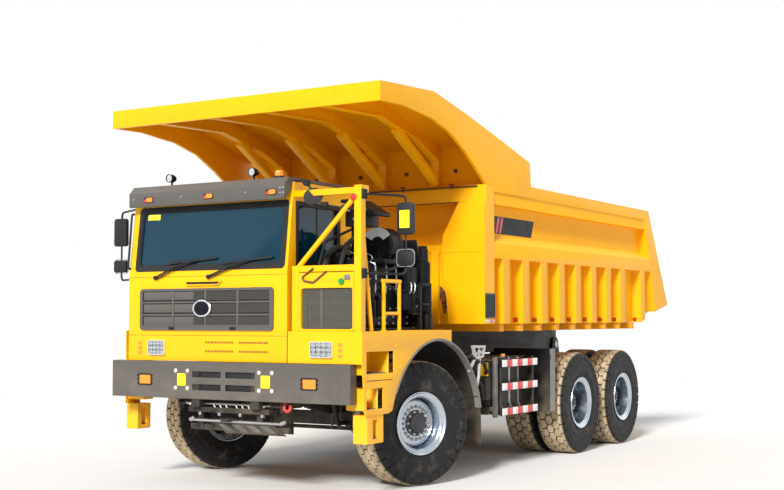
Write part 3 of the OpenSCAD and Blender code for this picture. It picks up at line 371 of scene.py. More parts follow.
class Part:
    """One piece of the truck while it is made, with the shapes that can be put into it."""

    def __init__(self, bm=None):
        self.bm = bm or bmesh.new()

    def faces_between(self, rings, closed):
        """Joins rings of as many vertices by four-sided faces."""
        for a, b in zip(rings, rings[1:] + rings[:1] if closed else rings[1:]):
            for i in range(len(a)):
                j = (i + 1) % len(a)
                self.bm.faces.new((a[i], b[i], b[j], a[j]))

    def outward(self):
        bmesh.ops.recalc_face_normals(self.bm, faces=self.bm.faces)
        return self

    def moved(self, place):
        self.bm.transform(place)
        self.bm.normal_update()
        return self

    def mesh(self, name="unit"):
        """The piece as a mesh of its own."""
        made = bpy.data.meshes.new(name)
        self.bm.to_mesh(made)
        self.bm.free()
        return made

    def take(self, mesh):
        self.bm.from_mesh(mesh)
        bpy.data.meshes.remove(mesh)
        return self

    def join(self, part):
        return self.take(part.outward().mesh())

    def both_sides(self):
        """Adds the mirror image on the truck's other side."""
        return self.join(Part(self.bm.copy()).moved(MIRROR))

    def box(self, low, high, soft=0.0, turn=None):
        """A box between two corners with its edges taken off; turn is a matrix about the box's middle."""
        low, high = Vector(low), Vector(high)
        size = high - low
        place = Matrix.Translation((low + high) / 2) @ (turn or Matrix()) @ Matrix.Diagonal((*size, 1))
        made = bmesh.ops.create_cube(self.bm, size=1.0, matrix=place)["verts"]
        if soft > 0:
            ease_edges(self.bm, list({e for v in made for e in v.link_edges}), min(soft, min(size) * 0.45))
        return self

    def lathe(self, profile, axis="X", centre=(0, 0, 0), steps=48):
        """A closed profile of (along, radius) pairs turned about an axis through centre."""
        along, side = ALONG[axis], ALONG["X" if axis == "Z" else "Z"]
        rings = []
        for i in range(steps):
            out = side * math.cos(TAU * i / steps) + along.cross(side) * math.sin(TAU * i / steps)
            rings.append([self.bm.verts.new(Vector(centre) + along * p[0] + out * p[1]) for p in profile])
        self.faces_between(rings, True)
        bmesh.ops.remove_doubles(self.bm, verts=[v for ring in rings for v in ring], dist=1e-6)
        return self

    def rod(self, a, b, radius, steps=16, soft=0.0):
        """A round bar from a to b with softened ends."""
        span = Vector(b) - Vector(a)
        length = span.length
        cut = min(soft, radius * 0.4, length * 0.3)
        profile = ([(0, 0), (0, radius - cut), (cut, radius), (length - cut, radius), (length, radius - cut),
                    (length, 0)] if cut > 0 else [(0, 0), (0, radius), (length, radius), (length, 0)])
        turn = span.to_track_quat("Z", "Y").to_matrix().to_4x4()
        return self.join(Part().lathe(profile, "Z", steps=steps).moved(Matrix.Translation(a) @ turn))

    def drawn(self, outline, axis, at):
        """Vertices of an outline of 2-D points, in the two axes other than axis."""
        k = "XYZ".index(axis)
        return [self.bm.verts.new((*p[:k], at, *p[k:])) for p in outline]

    def prism(self, outline, axis, low, high, soft=0.0):
        """An outline drawn out along an axis from low to high."""
        part = Part()
        bottom, top = part.drawn(outline, axis, low), part.drawn(outline, axis, high)
        part.bm.faces.new(bottom)
        part.bm.faces.new(top[::-1])
        part.faces_between([bottom, top], False)
        if soft > 0:
            ease_edges(part.outward().bm, list(part.bm.edges), soft)
        return self.join(part)

    def frame(self, outer, inner, axis, low, high):
        """A flat frame between two outlines that have as many points."""
        part = Part()
        part.faces_between([part.drawn(line, axis, at) for line, at in (
            (outer, low), (inner, low), (inner, high), (outer, high))], True)
        return self.join(part)

    def pipe(self, points, radius, bend=0.04, sides=10):
        """A bent pipe or hose through points."""
        path = bpy.data.meshes.new("path")
        path.from_pydata(points, [(i, i + 1) for i in range(len(points) - 1)], [])
        return self.take(pipe_on_path.grow(path, trim, Radius=radius, Bend=bend, Sides=sides))

    def grid(self, unit, across, down, start, step=(0, 0, 0), drop=(0, 0, 0)):
        """Copies of a unit in rows."""
        return self.take(grid_of_parts.grow(unit.mesh(), trim, Across=across, Down=down, Start=start, Step=step,
                                            Drop=drop))

    def ring(self, unit, count, radius, along, phase=0.0):
        """Copies of a unit round the X axis."""
        return self.take(ring_of_parts.grow(unit.mesh(), trim, Count=count, Radius=radius, Phase=phase, Along=along))

    def bolts(self, places, across=0.028, height=0.016, axis="X", sign=1):
        """Hexagon bolt heads on washers at the given places, standing out along an axis."""
        for p in places:
            self.join(bolt(across, height, axis).moved(Matrix.Translation(p) @ Matrix.Scale(sign, 4, ALONG[axis])))
        return self

    def finished(self, name, finish, body=CHASSIS, slot=None, replaces=(), smooth=25.0):
        """Makes the piece an object with its finish, rides it on its body and hides the CAD nodes that it replaces."""
        mesh = self.mesh(name)
        piece = bpy.data.objects.new(name, mesh)
        bpy.context.scene.collection.objects.link(piece)
        mesh.materials.clear()
        mesh.materials.append(finish)
        for face in mesh.polygons:
            face.material_index = 0
        mesh.shade_smooth()
        mesh.set_sharp_from_angle(angle=math.radians(smooth))
        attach(piece, body)
        if replaces:
            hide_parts(*replaces)
        return piece


def bolt(across, height, axis="X"):
    """A hexagon bolt head on its washer, standing along an axis."""
    unit = Part().lathe([(0, 0), (0, across * 0.72), (height * 0.2, across * 0.72), (height * 0.2, 0)], axis, steps=10)
    return unit.lathe([(0, 0), (0, across * 0.56), (height * 0.85, across * 0.56), (height, across * 0.44),
                       (height, 0)], axis, steps=6)


def softened(node, width, finish, body=CHASSIS):
    """A copy of a CAD node, merged, its flat faces whole again and its sharp edges taken off."""
    bm = bmesh.new()
    bm.from_mesh(nodes[node].data)
    bmesh.ops.remove_doubles(bm, verts=bm.verts, dist=2e-5)
    bmesh.ops.dissolve_limit(bm, angle_limit=0.004, verts=bm.verts, edges=bm.edges)
    ease_edges(bm, [e for e in bm.edges if len(e.link_faces) == 2 and e.calc_face_angle(0) > math.radians(28)], width)
    bmesh.ops.dissolve_degenerate(bm, edges=bm.edges, dist=1e-5)
    return Part(bm).finished(node + "_skin", finish, body, replaces=(node,))


# ---------------------------------------------------------------- camera, light and floor

IMAGE_WIDTH = 784
FOCAL_PIXELS = 1254.467
SENSOR_WIDTH = 36.0
EYE = Vector((9.34724, -16.31303, 2.00882))
YAW, PITCH, ROLL = 0.54977, 0.05807, -0.00143


def look():
    """The camera of the photograph."""
    right = Vector((math.cos(YAW), math.sin(YAW), 0))
    ahead = Vector((-math.sin(YAW) * math.cos(PITCH), math.cos(YAW) * math.cos(PITCH), math.sin(PITCH)))
    data = bpy.data.cameras.new("view")
    data.sensor_fit = "HORIZONTAL"
    data.sensor_width = SENSOR_WIDTH
    data.lens = FOCAL_PIXELS / IMAGE_WIDTH * SENSOR_WIDTH
    data.clip_end = 400
    camera = bpy.data.objects.new("view", data)
    turn = Matrix((right, right.cross(ahead), -ahead)).transposed().to_4x4()
    camera.matrix_world = Matrix.Translation(EYE) @ turn @ Matrix.Rotation(ROLL, 4, "Z")
    bpy.context.scene.collection.objects.link(camera)
    bpy.context.scene.camera = camera


def light():
    """A soft key from the front left, a weak one from the right, and an even pale surround."""
    for name, way, strength, angle in (("key", (0.2, -0.84, 0.5), 4.2, 12), ("fill", (-0.8, -0.35, 0.5), 0.35, 60),
                                       ("back", (0.3, 0.9, 0.5), 0.5, 60)):
        data = bpy.data.lights.new(name, "SUN")
        data.energy = strength
        data.angle = math.radians(angle)
        lamp = bpy.data.objects.new(name, data)
        lamp.rotation_mode = "QUATERNION"
        lamp.rotation_quaternion = Vector(way).to_track_quat("Z", "Y")
        bpy.context.scene.collection.objects.link(lamp)
    world = bpy.data.worlds.new("surround")
    world.use_nodes = True
    bpy.context.scene.world = world
    tree = world.node_tree
    shaded = tree.nodes["Background"]
    shaded.inputs["Color"].default_value = shade((0.92, 0.96, 1.0))
    shaded.inputs["Strength"].default_value = 0.48
    plain = add_node(tree, "ShaderNodeBackground", {"Color": shade((1, 1, 1))})
    rays = add_node(tree, "ShaderNodeLightPath").outputs
    seen = add_node(tree, "ShaderNodeMath", {0: rays["Is Camera Ray"], 1: rays["Is Transmission Ray"]},
                    operation="MAXIMUM")
    soft = add_node(tree, "ShaderNodeMath", {0: rays["Is Glossy Ray"], 1: 0.75}, operation="MULTIPLY")
    either = add_node(tree, "ShaderNodeMath", {0: seen.outputs[0], 1: soft.outputs[0]}, operation="MAXIMUM")
    blend = add_node(tree, "ShaderNodeMixShader", {0: either.outputs[0], 1: shaded.outputs[0], 2: plain.outputs[0]})
    tree.links.new(blend.outputs[0], tree.nodes["World Output"].inputs["Surface"])


def floor():
    """A pale floor that fades to the white surround away from the truck."""
    bm = bmesh.new()
    bmesh.ops.create_grid(bm, x_segments=2, y_segments=2, size=90)
    mesh = Part(bm).mesh("floor")
    ground = bpy.data.objects.new("floor", mesh)
    ground.location.z = -0.0015
    bpy.context.scene.collection.objects.link(ground)
    f = Finish("floor", Roughness=0.95)
    f.done(f.mix(f.noise(0.9, 5), shade((0.8, 0.79, 0.77)), shade((0.86, 0.85, 0.83))))
    far = f.node("ShaderNodeVectorMath", {0: f.place}, operation="LENGTH").outputs["Value"]
    fade = f.sum("MULTIPLY", f.between(far, 8.0, 17.0), f.node("ShaderNodeLightPath").outputs["Is Camera Ray"])
    white = f.node("ShaderNodeEmission", {"Color": shade((1, 1, 1)), "Strength": 1.0}).outputs[0]
    blend = f.node("ShaderNodeMixShader", {0: fade, 1: f.shader.outputs[0], 2: white})
    f.tree.links.new(blend.outputs[0], f.tree.nodes["Material Output"].inputs["Surface"])
    mesh.materials.append(f.material)


bpy.context.scene.view_settings.view_transform = "Standard"
look()
light()
floor()

# ---------------------------------------------------------------- wheels

AXLE_Z = TYRE_R = 0.745
TYRE_HALF = 0.215
KINGPIN_X, FRONT_Y, FRONT_OFFSET = 1.3, -3.055, 0.262
REAR_Y = (1.221, 2.914)
OUTER_TWIN_X, TWIN_SPACING = 1.705, 0.505
REST_STEER = math.radians(21)
LUGS = 32
GROOVE_R = TYRE_R - 0.017


def slid(offset):
    return Matrix.Translation((offset, 0, 0))


def at_front(side):
    """Places a wheel drawn about its own middle on a front spindle, turned as at rest."""
    return (Matrix.Translation((side * KINGPIN_X, FRONT_Y, AXLE_Z)) @ Matrix.Rotation(-REST_STEER, 4, "Z")
            @ slid(side * FRONT_OFFSET) @ Matrix.Scale(side, 4, (1, 0, 0)))


def at_rear(side, y):
    return Matrix.Translation((side * OUTER_TWIN_X, y, AXLE_Z)) @ Matrix.Scale(side, 4, (1, 0, 0))


WHEELS = ([("front_left", at_front(1), False), ("front_right", at_front(-1), False)]
          + [(f"{row}_{word}", at_rear(side, y), True) for row, y in zip(("mid", "rear"), REAR_Y)
             for word, side in (("left", 1), ("right", -1))])


def tread_block(half_x, half_y, height):
    """A block with six sides, its long way across the tread, with a chamfered top."""
    block = Part()
    near = half_x * 0.52
    shape = [(-half_x, 0), (-near, -half_y), (near, -half_y), (half_x, 0), (near, half_y), (-near, half_y)]
    rings = [[block.bm.verts.new((x * s, y * s, z)) for x, y in shape]
             for s, z in ((1.0, -0.008), (1.0, height - 0.004), (0.93, height))]
    block.faces_between(rings, False)
    block.bm.faces.new(rings[-1])
    return block


def shoulder_block():
    """A lug that bends from the tread down over the shoulder."""
    block = Part()
    across = [(0.138, -0.001), (0.153, -0.0015), (0.17, -0.004), (0.197, -0.02), (0.2145, -0.052), (0.2145, -0.105)]
    low = [(0.138, -0.023), (0.151, -0.023), (0.165, -0.027), (0.185, -0.043), (0.2, -0.062), (0.206, -0.112)]
    widths = [0.02, 0.052, 0.0625, 0.0625, 0.06, 0.046]

    def edge(line, way, spread):
        return [block.bm.verts.new((x, way * (w + spread), z)) for (x, z), w in zip(line, widths)]

    left, right = edge(across, -1, 0), edge(across, 1, 0)
    left_low, right_low = edge(low, -1, 0.002), edge(low, 1, 0.002)
    for i in range(5):
        for a, b in ((left, right), (left_low, left), (right, right_low)):
            block.bm.faces.new((a[i], a[i + 1], b[i + 1], b[i]))
    for i in (0, 5):
        block.bm.faces.new((left_low[i], left[i], right[i], right_low[i]))
    return block.outward()


def tread(place):
    """Every tread block of one tyre."""
    whole = Part()
    half_step = TAU / LUGS / 2
    for x, phase in ((-0.098, 0.0), (0.0, half_step), (0.098, 0.0)):
        whole.ring(tread_block(0.055, 0.0635, 0.0165), LUGS, GROOVE_R, x, phase)
    whole.ring(shoulder_block(), LUGS, TYRE_R, 0.0, half_step)
    whole.ring(shoulder_block().moved(MIRROR), LUGS, TYRE_R, 0.0, half_step)
    dust = whole.bm.verts.layers.float.new("dust")
    for v in whole.bm.verts:
        x, y, z = v.co
        worn = 1 - (block_top(abs(x)) - math.hypot(y, z)) / 0.01
        v[dust] = max(0.0, min(1.0, worn, (0.195 - abs(x)) / 0.025))
    return whole.moved(place).outward()


def block_top(x):
    """Radius of the blocks' tops at a distance from the tyre's middle plane."""
    ends = [(0.0, -0.001), (0.15, -0.001), (0.17, -0.004), (0.197, -0.02), (0.2145, -0.052)]
    for (x0, r0), (x1, r1) in zip(ends, ends[1:]):
        if x <= x1:
            return TYRE_R + r0 + (r1 - r0) * (x - x0) / (x1 - x0)
    return TYRE_R + ends[-1][1]


def carcass(place):
    """Sidewalls and the floor of the grooves, with the bead set in the rim."""
    half = [(0.0, 0.728), (0.15, 0.726), (0.185, 0.706), (0.202, 0.67), (0.208, 0.63), (0.2145, 0.595),
            (0.2145, 0.573), (0.2105, 0.567), (0.2148, 0.545), (0.2148, 0.5), (0.2135, 0.47), (0.209, 0.464),
            (0.2085, 0.44), (0.201, 0.405), (0.19, 0.385), (0.19, 0.321), (0.0, 0.321)]
    return Part().lathe(half + [(-x, r) for x, r in half[-2:0:-1]], steps=84).moved(place)


def rim_ring(part, offset, h=TYRE_HALF):
    """One rim barrel with its rolled flanges."""
    outer = [(0.0, 0.377), (0.008, 0.38), (0.02, 0.378), (0.024, 0.34), (0.03, 0.3195)]
    inner = [(0.0, 0.368), (0.006, 0.362), (0.016, 0.352), (0.022, 0.325), (0.04, 0.308), (0.14, 0.3)]
    profile = [inner[0]] + outer
    profile = ([(d - h, r) for d, r in profile] + [(h - d, r) for d, r in outer[::-1]]
               + [(h - d, r) for d, r in inner] + [(d - h, r) for d, r in inner[:0:-1]])
    part.lathe([(x + offset, r) for x, r in profile], steps=72)


def wheel_nuts(part, x, radius, count):
    """Nuts with their studs in a ring."""
    unit = Part().lathe([(0, 0), (0, 0.026), (0.005, 0.026), (0.005, 0)], steps=12)
    unit.lathe([(0, 0), (0, 0.0195), (0.024, 0.0195), (0.03, 0.0155), (0.03, 0)], steps=6)
    unit.lathe([(0, 0), (0, 0.01), (0.044, 0.01), (0.044, 0)], steps=8)
    part.ring(unit.outward(), count, radius, x)


def front_wheel(disc, hub, nuts):
    """The deep front disc; returns dark discs where its lightening holes are, painted shade standing in for the holes,
    as a piece of their own.
    """
    rim_ring(disc, 0.0)
    disc.lathe([(0.02, 0.306), (0.052, 0.296), (0.088, 0.268), (0.098, 0.24), (0.098, 0.15), (0.08, 0.15),
                (0.08, 0.236), (0.07, 0.262), (0.036, 0.286), (0.004, 0.302)], steps=72)
    hub.lathe([(-0.12, 0.076), (-0.12, 0.15), (0.092, 0.15), (0.1, 0.158), (0.112, 0.158), (0.118, 0.15),
               (0.122, 0.118), (0.14, 0.112), (0.1405, 0.06), (0.1375, 0.055), (0.1375, 0.0), (0.122, 0.0),
               (0.122, 0.076)], steps=60)
    wheel_nuts(nuts, 0.097, 0.196, 20)
    nuts.ring(bolt(0.024, 0.014), 10, 0.136, 0.117, 0.3)
    # The lightening holes are not cut: flat dark discs on the disc's face are painted shade in their place.
    shade_disc = Part().lathe([(0, 0), (0, 0.021), (0.003, 0.021), (0.003, 0)], steps=14).outward()
    return Part().ring(shade_disc, 20, 0.244, 0.086, TAU / 40)


def rear_wheel(disc, hub, nuts):
    """The dished outer disc, its twin behind it and the long hub."""
    dish = [(-0.15, 0.303), (-0.166, 0.29), (-0.17, 0.262), (-0.17, 0.13), (-0.146, 0.13), (-0.146, 0.258),
            (-0.14, 0.282), (-0.12, 0.303)]
    rim_ring(disc, 0.0)
    rim_ring(disc, -TWIN_SPACING)
    disc.lathe(dish, steps=72).lathe([(-TWIN_SPACING - x, r) for x, r in dish], steps=72)
    hub.lathe([(-0.655, 0.076), (-0.655, 0.165), (-0.15, 0.165), (-0.14, 0.16), (-0.1, 0.15), (0.02, 0.146),
               (0.03, 0.14), (0.05, 0.136), (0.058, 0.128), (0.06, 0.05), (0.056, 0.046), (0.056, 0.0), (0.04, 0.0),
               (0.04, 0.076)], steps=60)
    wheel_nuts(nuts, -0.146, 0.205, 20)
    nuts.ring(bolt(0.022, 0.012), 12, 0.108, 0.0585)


for wheel, place, twin in WHEELS:
    body = "wheel_" + wheel
    walls = Part()
    for n, offset in enumerate((0.0, -TWIN_SPACING) if twin else (0.0,)):
        walls.join(carcass(place @ slid(offset)))
        tread(place @ slid(offset)).finished(f"tread_{wheel}_{n + 1}", tread_rubber, body)
    walls.finished("tyre_wall_" + wheel, wall_rubber, body, replaces=("tyre_" + wheel,), smooth=40.0)
    disc, hub, nuts = Part(), Part(), Part()
    holes = (rear_wheel if twin else front_wheel)(disc, hub, nuts)
    for part, name, finish, slot, replaces in (
            (disc, "rim_disc_", sky_tinted_silver, None, ("rim_" + wheel,)), (hub, "hub_", hub_grey, None, ()),
            (nuts, "wheel_nuts_", steel, None, ()), (holes, "rim_hole_shade_", trim, "engine_black", ())):
        if part:
            part.moved(place).outward().finished(name + wheel, finish, body, slot, replaces)


# ---------------------------------------------------------------- skins of the painted panels

SKINS = (
    (yellow, CHASSIS, {"cab_shell": 0.01, "deck": 0.004, "step_panels": 0.004, "guard_frame": 0.012}),
    (yellow, DOOR, {"cab_door": 0.006}),
    (warm_grey, CHASSIS, {"cab_roof": 0.012, "front_bumper": 0.005}),
    (bed_yellow, TIPPING, {"body_shell": 0.006, "body_front": 0.006, "canopy": 0.004, "canopy_ribs": 0.004}),
    (under_paint, TIPPING, {"underframe": 0.006}),
    (black, CHASSIS, {"fuel_tank": 0.045, "hydraulic_tank": 0.045, "frame_rails": 0.008, "mudguards": 0.004,
                      "tow_bar": 0.006, "side_guards": 0.008}),
)

for finish, body, widths in SKINS:
    for node, width in widths.items():
        softened(node, width, finish, body)

# ---------------------------------------------------------------- front of the cab

FRONT_Y_FACE = -4.765
LEAN_Z = 2.54
SLOPE = 0.125 / 1.04


def on_front(part):
    """Leans what stands above the sill back with the front of the cab; y = 0 is its outer face."""
    for v in part.bm.verts:
        v.co.y += FRONT_Y_FACE + max(0, v.co.z - LEAN_Z) * SLOPE
    return part


def windscreen():
    """Seals round the glass, two wipers and the small plate in its corner."""
    seal = Part().frame(rounded((-1.452, 2.578), (0.832, 3.372), 0.05), rounded((-1.395, 2.64), (0.775, 3.318), 0.05),
        "Y", -0.006, 0.004)
    seal.frame(rounded((-1.4295, 2.6005), (0.8095, 3.3495), 0.035), rounded((-1.38, 2.655), (0.76, 3.3), 0.05), "Y",
        0.0, 0.024)
    on_front(seal).finished("windscreen_seal", trim)
    wipers = Part()
    for (px, pz), (ex, ez), (x0, z0), (x1, z1) in (
            ((-1.1, 2.5), (-0.8, 2.625), (-0.91, 2.668), (-0.17, 2.722)),
            ((-0.27, 2.5), (0.06, 2.62), (-0.06, 2.652), (0.65, 2.712))):
        mx, mz = (x0 + x1) / 2, (z0 + z1) / 2
        wipers.rod((px, -0.04, pz), (px, 0, pz), 0.026, 14, soft=0.006)
        wipers.pipe([(px, -0.034, pz), (ex, -0.03, ez), (mx, -0.022, mz)], 0.011, 0.03, 8)
        wipers.pipe([(px + 0.03, -0.03, pz - 0.008), (ex + 0.03, -0.028, ez - 0.02), (mx + 0.05, -0.022, mz)], 0.008,
            0.03, 8)
        blade = Part().box((0, -0.022, -0.012), (math.hypot(x1 - x0, z1 - z0), -0.002, 0.012), 0.004)
        turn = Matrix.Rotation(-math.atan2(z1 - z0, x1 - x0), 4, "Y")
        wipers.join(blade.moved(Matrix.Translation((x0, 0, z0)) @ turn))
    on_front(wipers).finished("wipers", trim)
    marks = Part().box((-1.33, 0.012, 3.215), (-1.13, 0.0135, 3.285))
    on_front(marks).finished("windscreen_plate", olive_plate)


def visor_details():
    """Small round bolts and lamp hoods on the sun visor, lamps and the beacon on the roof."""
    bolts = Part()
    for x in (-1.44, -0.68, 0.3, 0.8, 0.845):
        for z in ((3.47,) if x < 0.8 else (3.44, 3.5)):
            bolts.rod((x, -4.809, z), (x, -4.814, z), 0.012, 10)
    bolts.finished("visor_bolts", steel)
    hoods, lights, reds = Part(), Part(), Part()
    for x in (-1.2, -0.26, 0.67):
        hoods.prism(rounded((x - 0.078, 3.418), (x + 0.078, 3.488), 0.02), "Y", -4.8125, -4.805, 0.002)
        lights.prism(rounded((x - 0.03, 3.428), (x + 0.066, 3.482), 0.018), "Y", -4.821, -4.811, 0.003)
        reds.prism(rounded((x - 0.068, 3.424), (x - 0.026, 3.464), 0.014), "Y", -4.819, -4.811, 0.003)
    hoods.finished("marker_bases", trim)
    lights.finished("marker_lenses", amber)
    reds.finished("marker_red_lenses", red)
    shells, faces = Part(), Part()
    for x in (-1.06, 0.22):
        shells.lathe([(-0.005, 0), (-0.004, 0.04), (-0.048, 0.043), (-0.058, 0.047), (-0.058, 0.052), (0.01, 0.05),
            (0.046, 0.036), (0.056, 0.018), (0.056, 0)], "Y", (x, -4.545, 3.735), 24)
        shells.rod((x, -4.545, 3.63), (x, -4.545, 3.69), 0.012, 10)
        shells.box((x - 0.055, -4.56, 3.6302), (x + 0.055, -4.528, 3.642), 0.003)
        faces.lathe([(-0.052, 0), (-0.05, 0.046), (-0.04, 0.046), (-0.006, 0)], "Y", (x, -4.545, 3.735), 24)
    shells.finished("roof_lamp_shells", trim, replaces=("work_lamps",))
    faces.finished("roof_lamp_faces", reflector, slot="lamp_glass")
    base = Part().lathe([(0, 0), (0, 0.075), (0.016, 0.075), (0.024, 0.062), (0.036, 0.06), (0.036, 0)], "Z",
        (0.6, -4.555, 3.63), 28)
    base.bolts([(0.6 + 0.066 * math.cos(a), -4.555 + 0.066 * math.sin(a), 3.646) for a in (0.5, 2.6, 4.7)], 0.012,
        0.008, "Z")
    base.finished("beacon_base", trim)
    dome = Part().lathe([(0.036, 0), (0.036, 0.055), (0.085, 0.055), (0.1, 0.048), (0.108, 0.03), (0.11, 0)], "Z",
        (0.6, -4.555, 3.63), 28)
    for x in (-1.32, 1.12):
        dome.prism(rounded((x + 0.001, 1.2155), (x + 0.189, 1.3245), 0.012), "Y", -4.8149, -4.786, 0.004)
    dome.finished("beacon_dome", amber, replaces=("amber_lamps",))


GRILLE_LOW, GRILLE_HIGH = (-1.345, 1.865), (0.685, 2.365)
COLUMN_X = (-1.29, -0.8, -0.3, 0.185)
COLUMN_W = (0.455, 0.47, 0.455, 0.455)
ROW_Z = (1.925, 2.075, 2.225)
ROW_H = 0.105


def grille():
    """Frame, blank slats, wire mesh, plain ring and catches of the grille panel."""
    bars = Part()
    outer = rounded(GRILLE_LOW, GRILLE_HIGH, 0.045, 6)
    inner = rounded((GRILLE_LOW[0] + 0.045, GRILLE_LOW[1] + 0.04), (GRILLE_HIGH[0] - 0.045, GRILLE_HIGH[1] - 0.03),
        0.02, 6)
    bars.frame(outer, inner, "Y", -4.79, -4.7655)
    for a, b in zip(COLUMN_X, COLUMN_X[1:]):
        bars.box((b - 0.03, -4.787, 1.9), (b, -4.77, 2.34), 0.003)
    for z in (ROW_Z[0] - 0.02, *[z + ROW_H + 0.008 for z in ROW_Z]):
        bars.box((-1.31, -4.785, z), (0.65, -4.77, z + 0.022), 0.003)
    # Blank slats over the cooler's dead side, each with a raised middle
    for x, w in zip(COLUMN_X[:2], COLUMN_W[:2]):
        cut = 0.0 if x < -1.0 else 0.165
        for z in ROW_Z:
            bars.box((x + 0.004, -4.783, z + 0.002), (x + w - cut, -4.771, z + ROW_H - 0.002), 0.004)
            bars.box((x + 0.02, -4.787, z + 0.022), (x + w - cut - 0.02, -4.782, z + ROW_H - 0.022), 0.003)
    bars.finished("grille_frame", warm_grey, replaces=("grille_panel",))
    back = Part().box((-1.3, -4.7685, 1.9), (0.64, -4.7655, 2.34))
    back.finished("grille_backing", trim)
    mesh = Part()
    for x, w in ((COLUMN_X[1] + 0.305, 0.15), (COLUMN_X[2], COLUMN_W[2]), (COLUMN_X[3], COLUMN_W[3])):
        for z in ROW_Z:
            bar = Part().box((-0.0035, -0.0025, 0), (0.0035, 0.0025, ROW_H))
            count = int(w / 0.019)
            mesh.grid(bar, count, 1, (x + 0.008, -4.776, z), (w / count, 0, 0))
            wire = Part().box((0, -0.0025, -0.0035), (w, 0.0025, 0.0035))
            mesh.grid(wire, 1, 6, (x, -4.776, z + 0.005), drop=(0, 0, 0.019))
    mesh.finished("grille_mesh", warm_grey)
    middle = Vector((-0.36, 0, 2.125))
    oval = Matrix.Translation(middle) @ Matrix.Diagonal((1.32, 1.0, 0.94, 1)) @ Matrix.Translation(-middle)
    for name, finish, y, steps, profile in (
            ("badge_ring", reflector, -4.788, 40, [(0, 0), (0, 0.108), (-0.012, 0.108), (-0.018, 0.1),
                                                   (-0.018, 0.09), (-0.012, 0.086), (-0.012, 0)]),
            ("badge_blank", gloss_black, -4.8, 36, [(0, 0), (0, 0.086), (-0.003, 0.085), (-0.006, 0.05),
                                                    (-0.007, 0)])):
        Part().lathe(profile, "Y", (-0.36, y, 2.125), steps).outward().moved(oval).finished(name, finish)
    catches = Part()
    for x in (-0.83, 0.105):
        catches.prism(rounded((x - 0.045, 1.872), (x + 0.045, 1.906), 0.012), "Y", -4.8, -4.788, 0.004)
        catches.rod((x, -4.8, 1.889), (x, -4.808, 1.889), 0.011, 12)
    catches.finished("grille_catches", trim)


def front_handle():
    """The long pull handle over the grille: a shallow dark tray under a painted lip."""
    tray = Part().prism([(-0.64, 2.442), (-0.09, 2.442), (-0.125, 2.398), (-0.605, 2.398)], "Y", -4.768, -4.764, 0.001)
    tray.finished("handle_tray", trim)
    lip = Part().pipe([(-0.64, -4.772, 2.442), (-0.6, -4.782, 2.404), (-0.13, -4.782, 2.404), (-0.09, -4.772, 2.442)],
        0.009, 0.02, 8)
    lip.box((-0.648, -4.78, 2.44), (-0.082, -4.764, 2.452), 0.003)
    lip.finished("handle_lip", yellow)


def headlamps():
    """Lamp boxes with rows of small cups under one glass, and the flashers at the corners."""
    shells, cups, glass, backs = (Part() for _ in range(4))
    for x0, x1 in ((-1.21, -0.94), (1.2, 1.51)):
        z0, z1 = 1.565, 1.745
        shells.frame(rounded((x0, z0), (x1, z1), 0.025), rounded((x0 + 0.014, z0 + 0.014), (x1 - 0.014, z1 - 0.014),
            0.016), "Y", -4.794, -4.7655)
        backs.box((x0 + 0.012, -4.7705, z0 + 0.012), (x1 - 0.012, -4.7645, z1 - 0.012))
        columns = 4
        step = (x1 - x0 - 0.03) / columns
        unit = Part().lathe([(0, 0), (0, 0.0215), (-0.018, 0.0235), (-0.018, 0.02), (-0.004, 0.01), (-0.004, 0)], "Y",
            steps=16)
        unit.outward().moved(Matrix.Diagonal((step / 0.05, 1, 1, 1)))
        cups.grid(unit, columns, 3, (x0 + 0.015 + step / 2, -4.7705, z0 + 0.038), (step, 0, 0), (0, 0, 0.052))
        glass.prism(rounded((x0 + 0.013, z0 + 0.013), (x1 - 0.013, z1 - 0.013), 0.016), "Y", -4.7935, -4.7905)
    shells.finished("headlamp_shells", reflector)
    cups.finished("headlamp_cups", reflector)
    glass.finished("headlamp_glass", lamp_glass)
    backs.finished("headlamp_backs", trim)
    spots = Part()
    for x in (-1.355, 1.6):
        for z in (1.59, 1.65, 1.71):
            spots.prism(rounded((x - 0.03, z - 0.02), (x + 0.03, z + 0.02), 0.012), "Y", -4.77, -4.764, 0.002)
    spots.finished("side_flashers", amber)


def front_panels():
    """Louvre rows, seams and screws of the front panels."""
    slots = Part()
    # The louvre openings are drawn as dark slanted bars on the face: painted shade of the openings.
    for x in (-0.325, 0.18):
        for z in (1.618, 1.722):
            unit = Part().prism([(0, 0), (0.011, 0.002), (0.011, 0.028), (0, 0.026)], "Y", -0.0015, 0.004)
            slots.grid(unit, 20, 1, (x, -4.765, z - 0.013), (0.0215, 0, 0))
    slots.finished("louvre_slots", trim)
    seams = Part().box((0.8695, -4.7662, 1.505), (0.8805, -4.758, 1.858))
    seams.box((-1.54, -4.7662, 2.508), (0.865, -4.764, 2.512))
    seams.box((-1.545, -4.7662, 1.802), (0.865, -4.764, 1.806))
    seams.finished("panel_seams", trim)
    screws = Part()
    for x in (-1.5, 0.83):
        for z in (1.56, 1.86, 2.1, 2.34, 2.47):
            screws.rod((x, -4.764, z), (x, -4.77, z), 0.011, 10, soft=0.002)
    screws.finished("panel_screws", yellow)
    # Grab rail up the door-side corner of the front
    rail = Part().pipe([(-1.535, -4.74, 2.62), (-1.535, -4.8, 2.62), (-1.535, -4.74, 3.3), (-1.535, -4.7, 3.3)], 0.014,
        0.03, 10)
    rail.finished("front_grab_rail", trim)


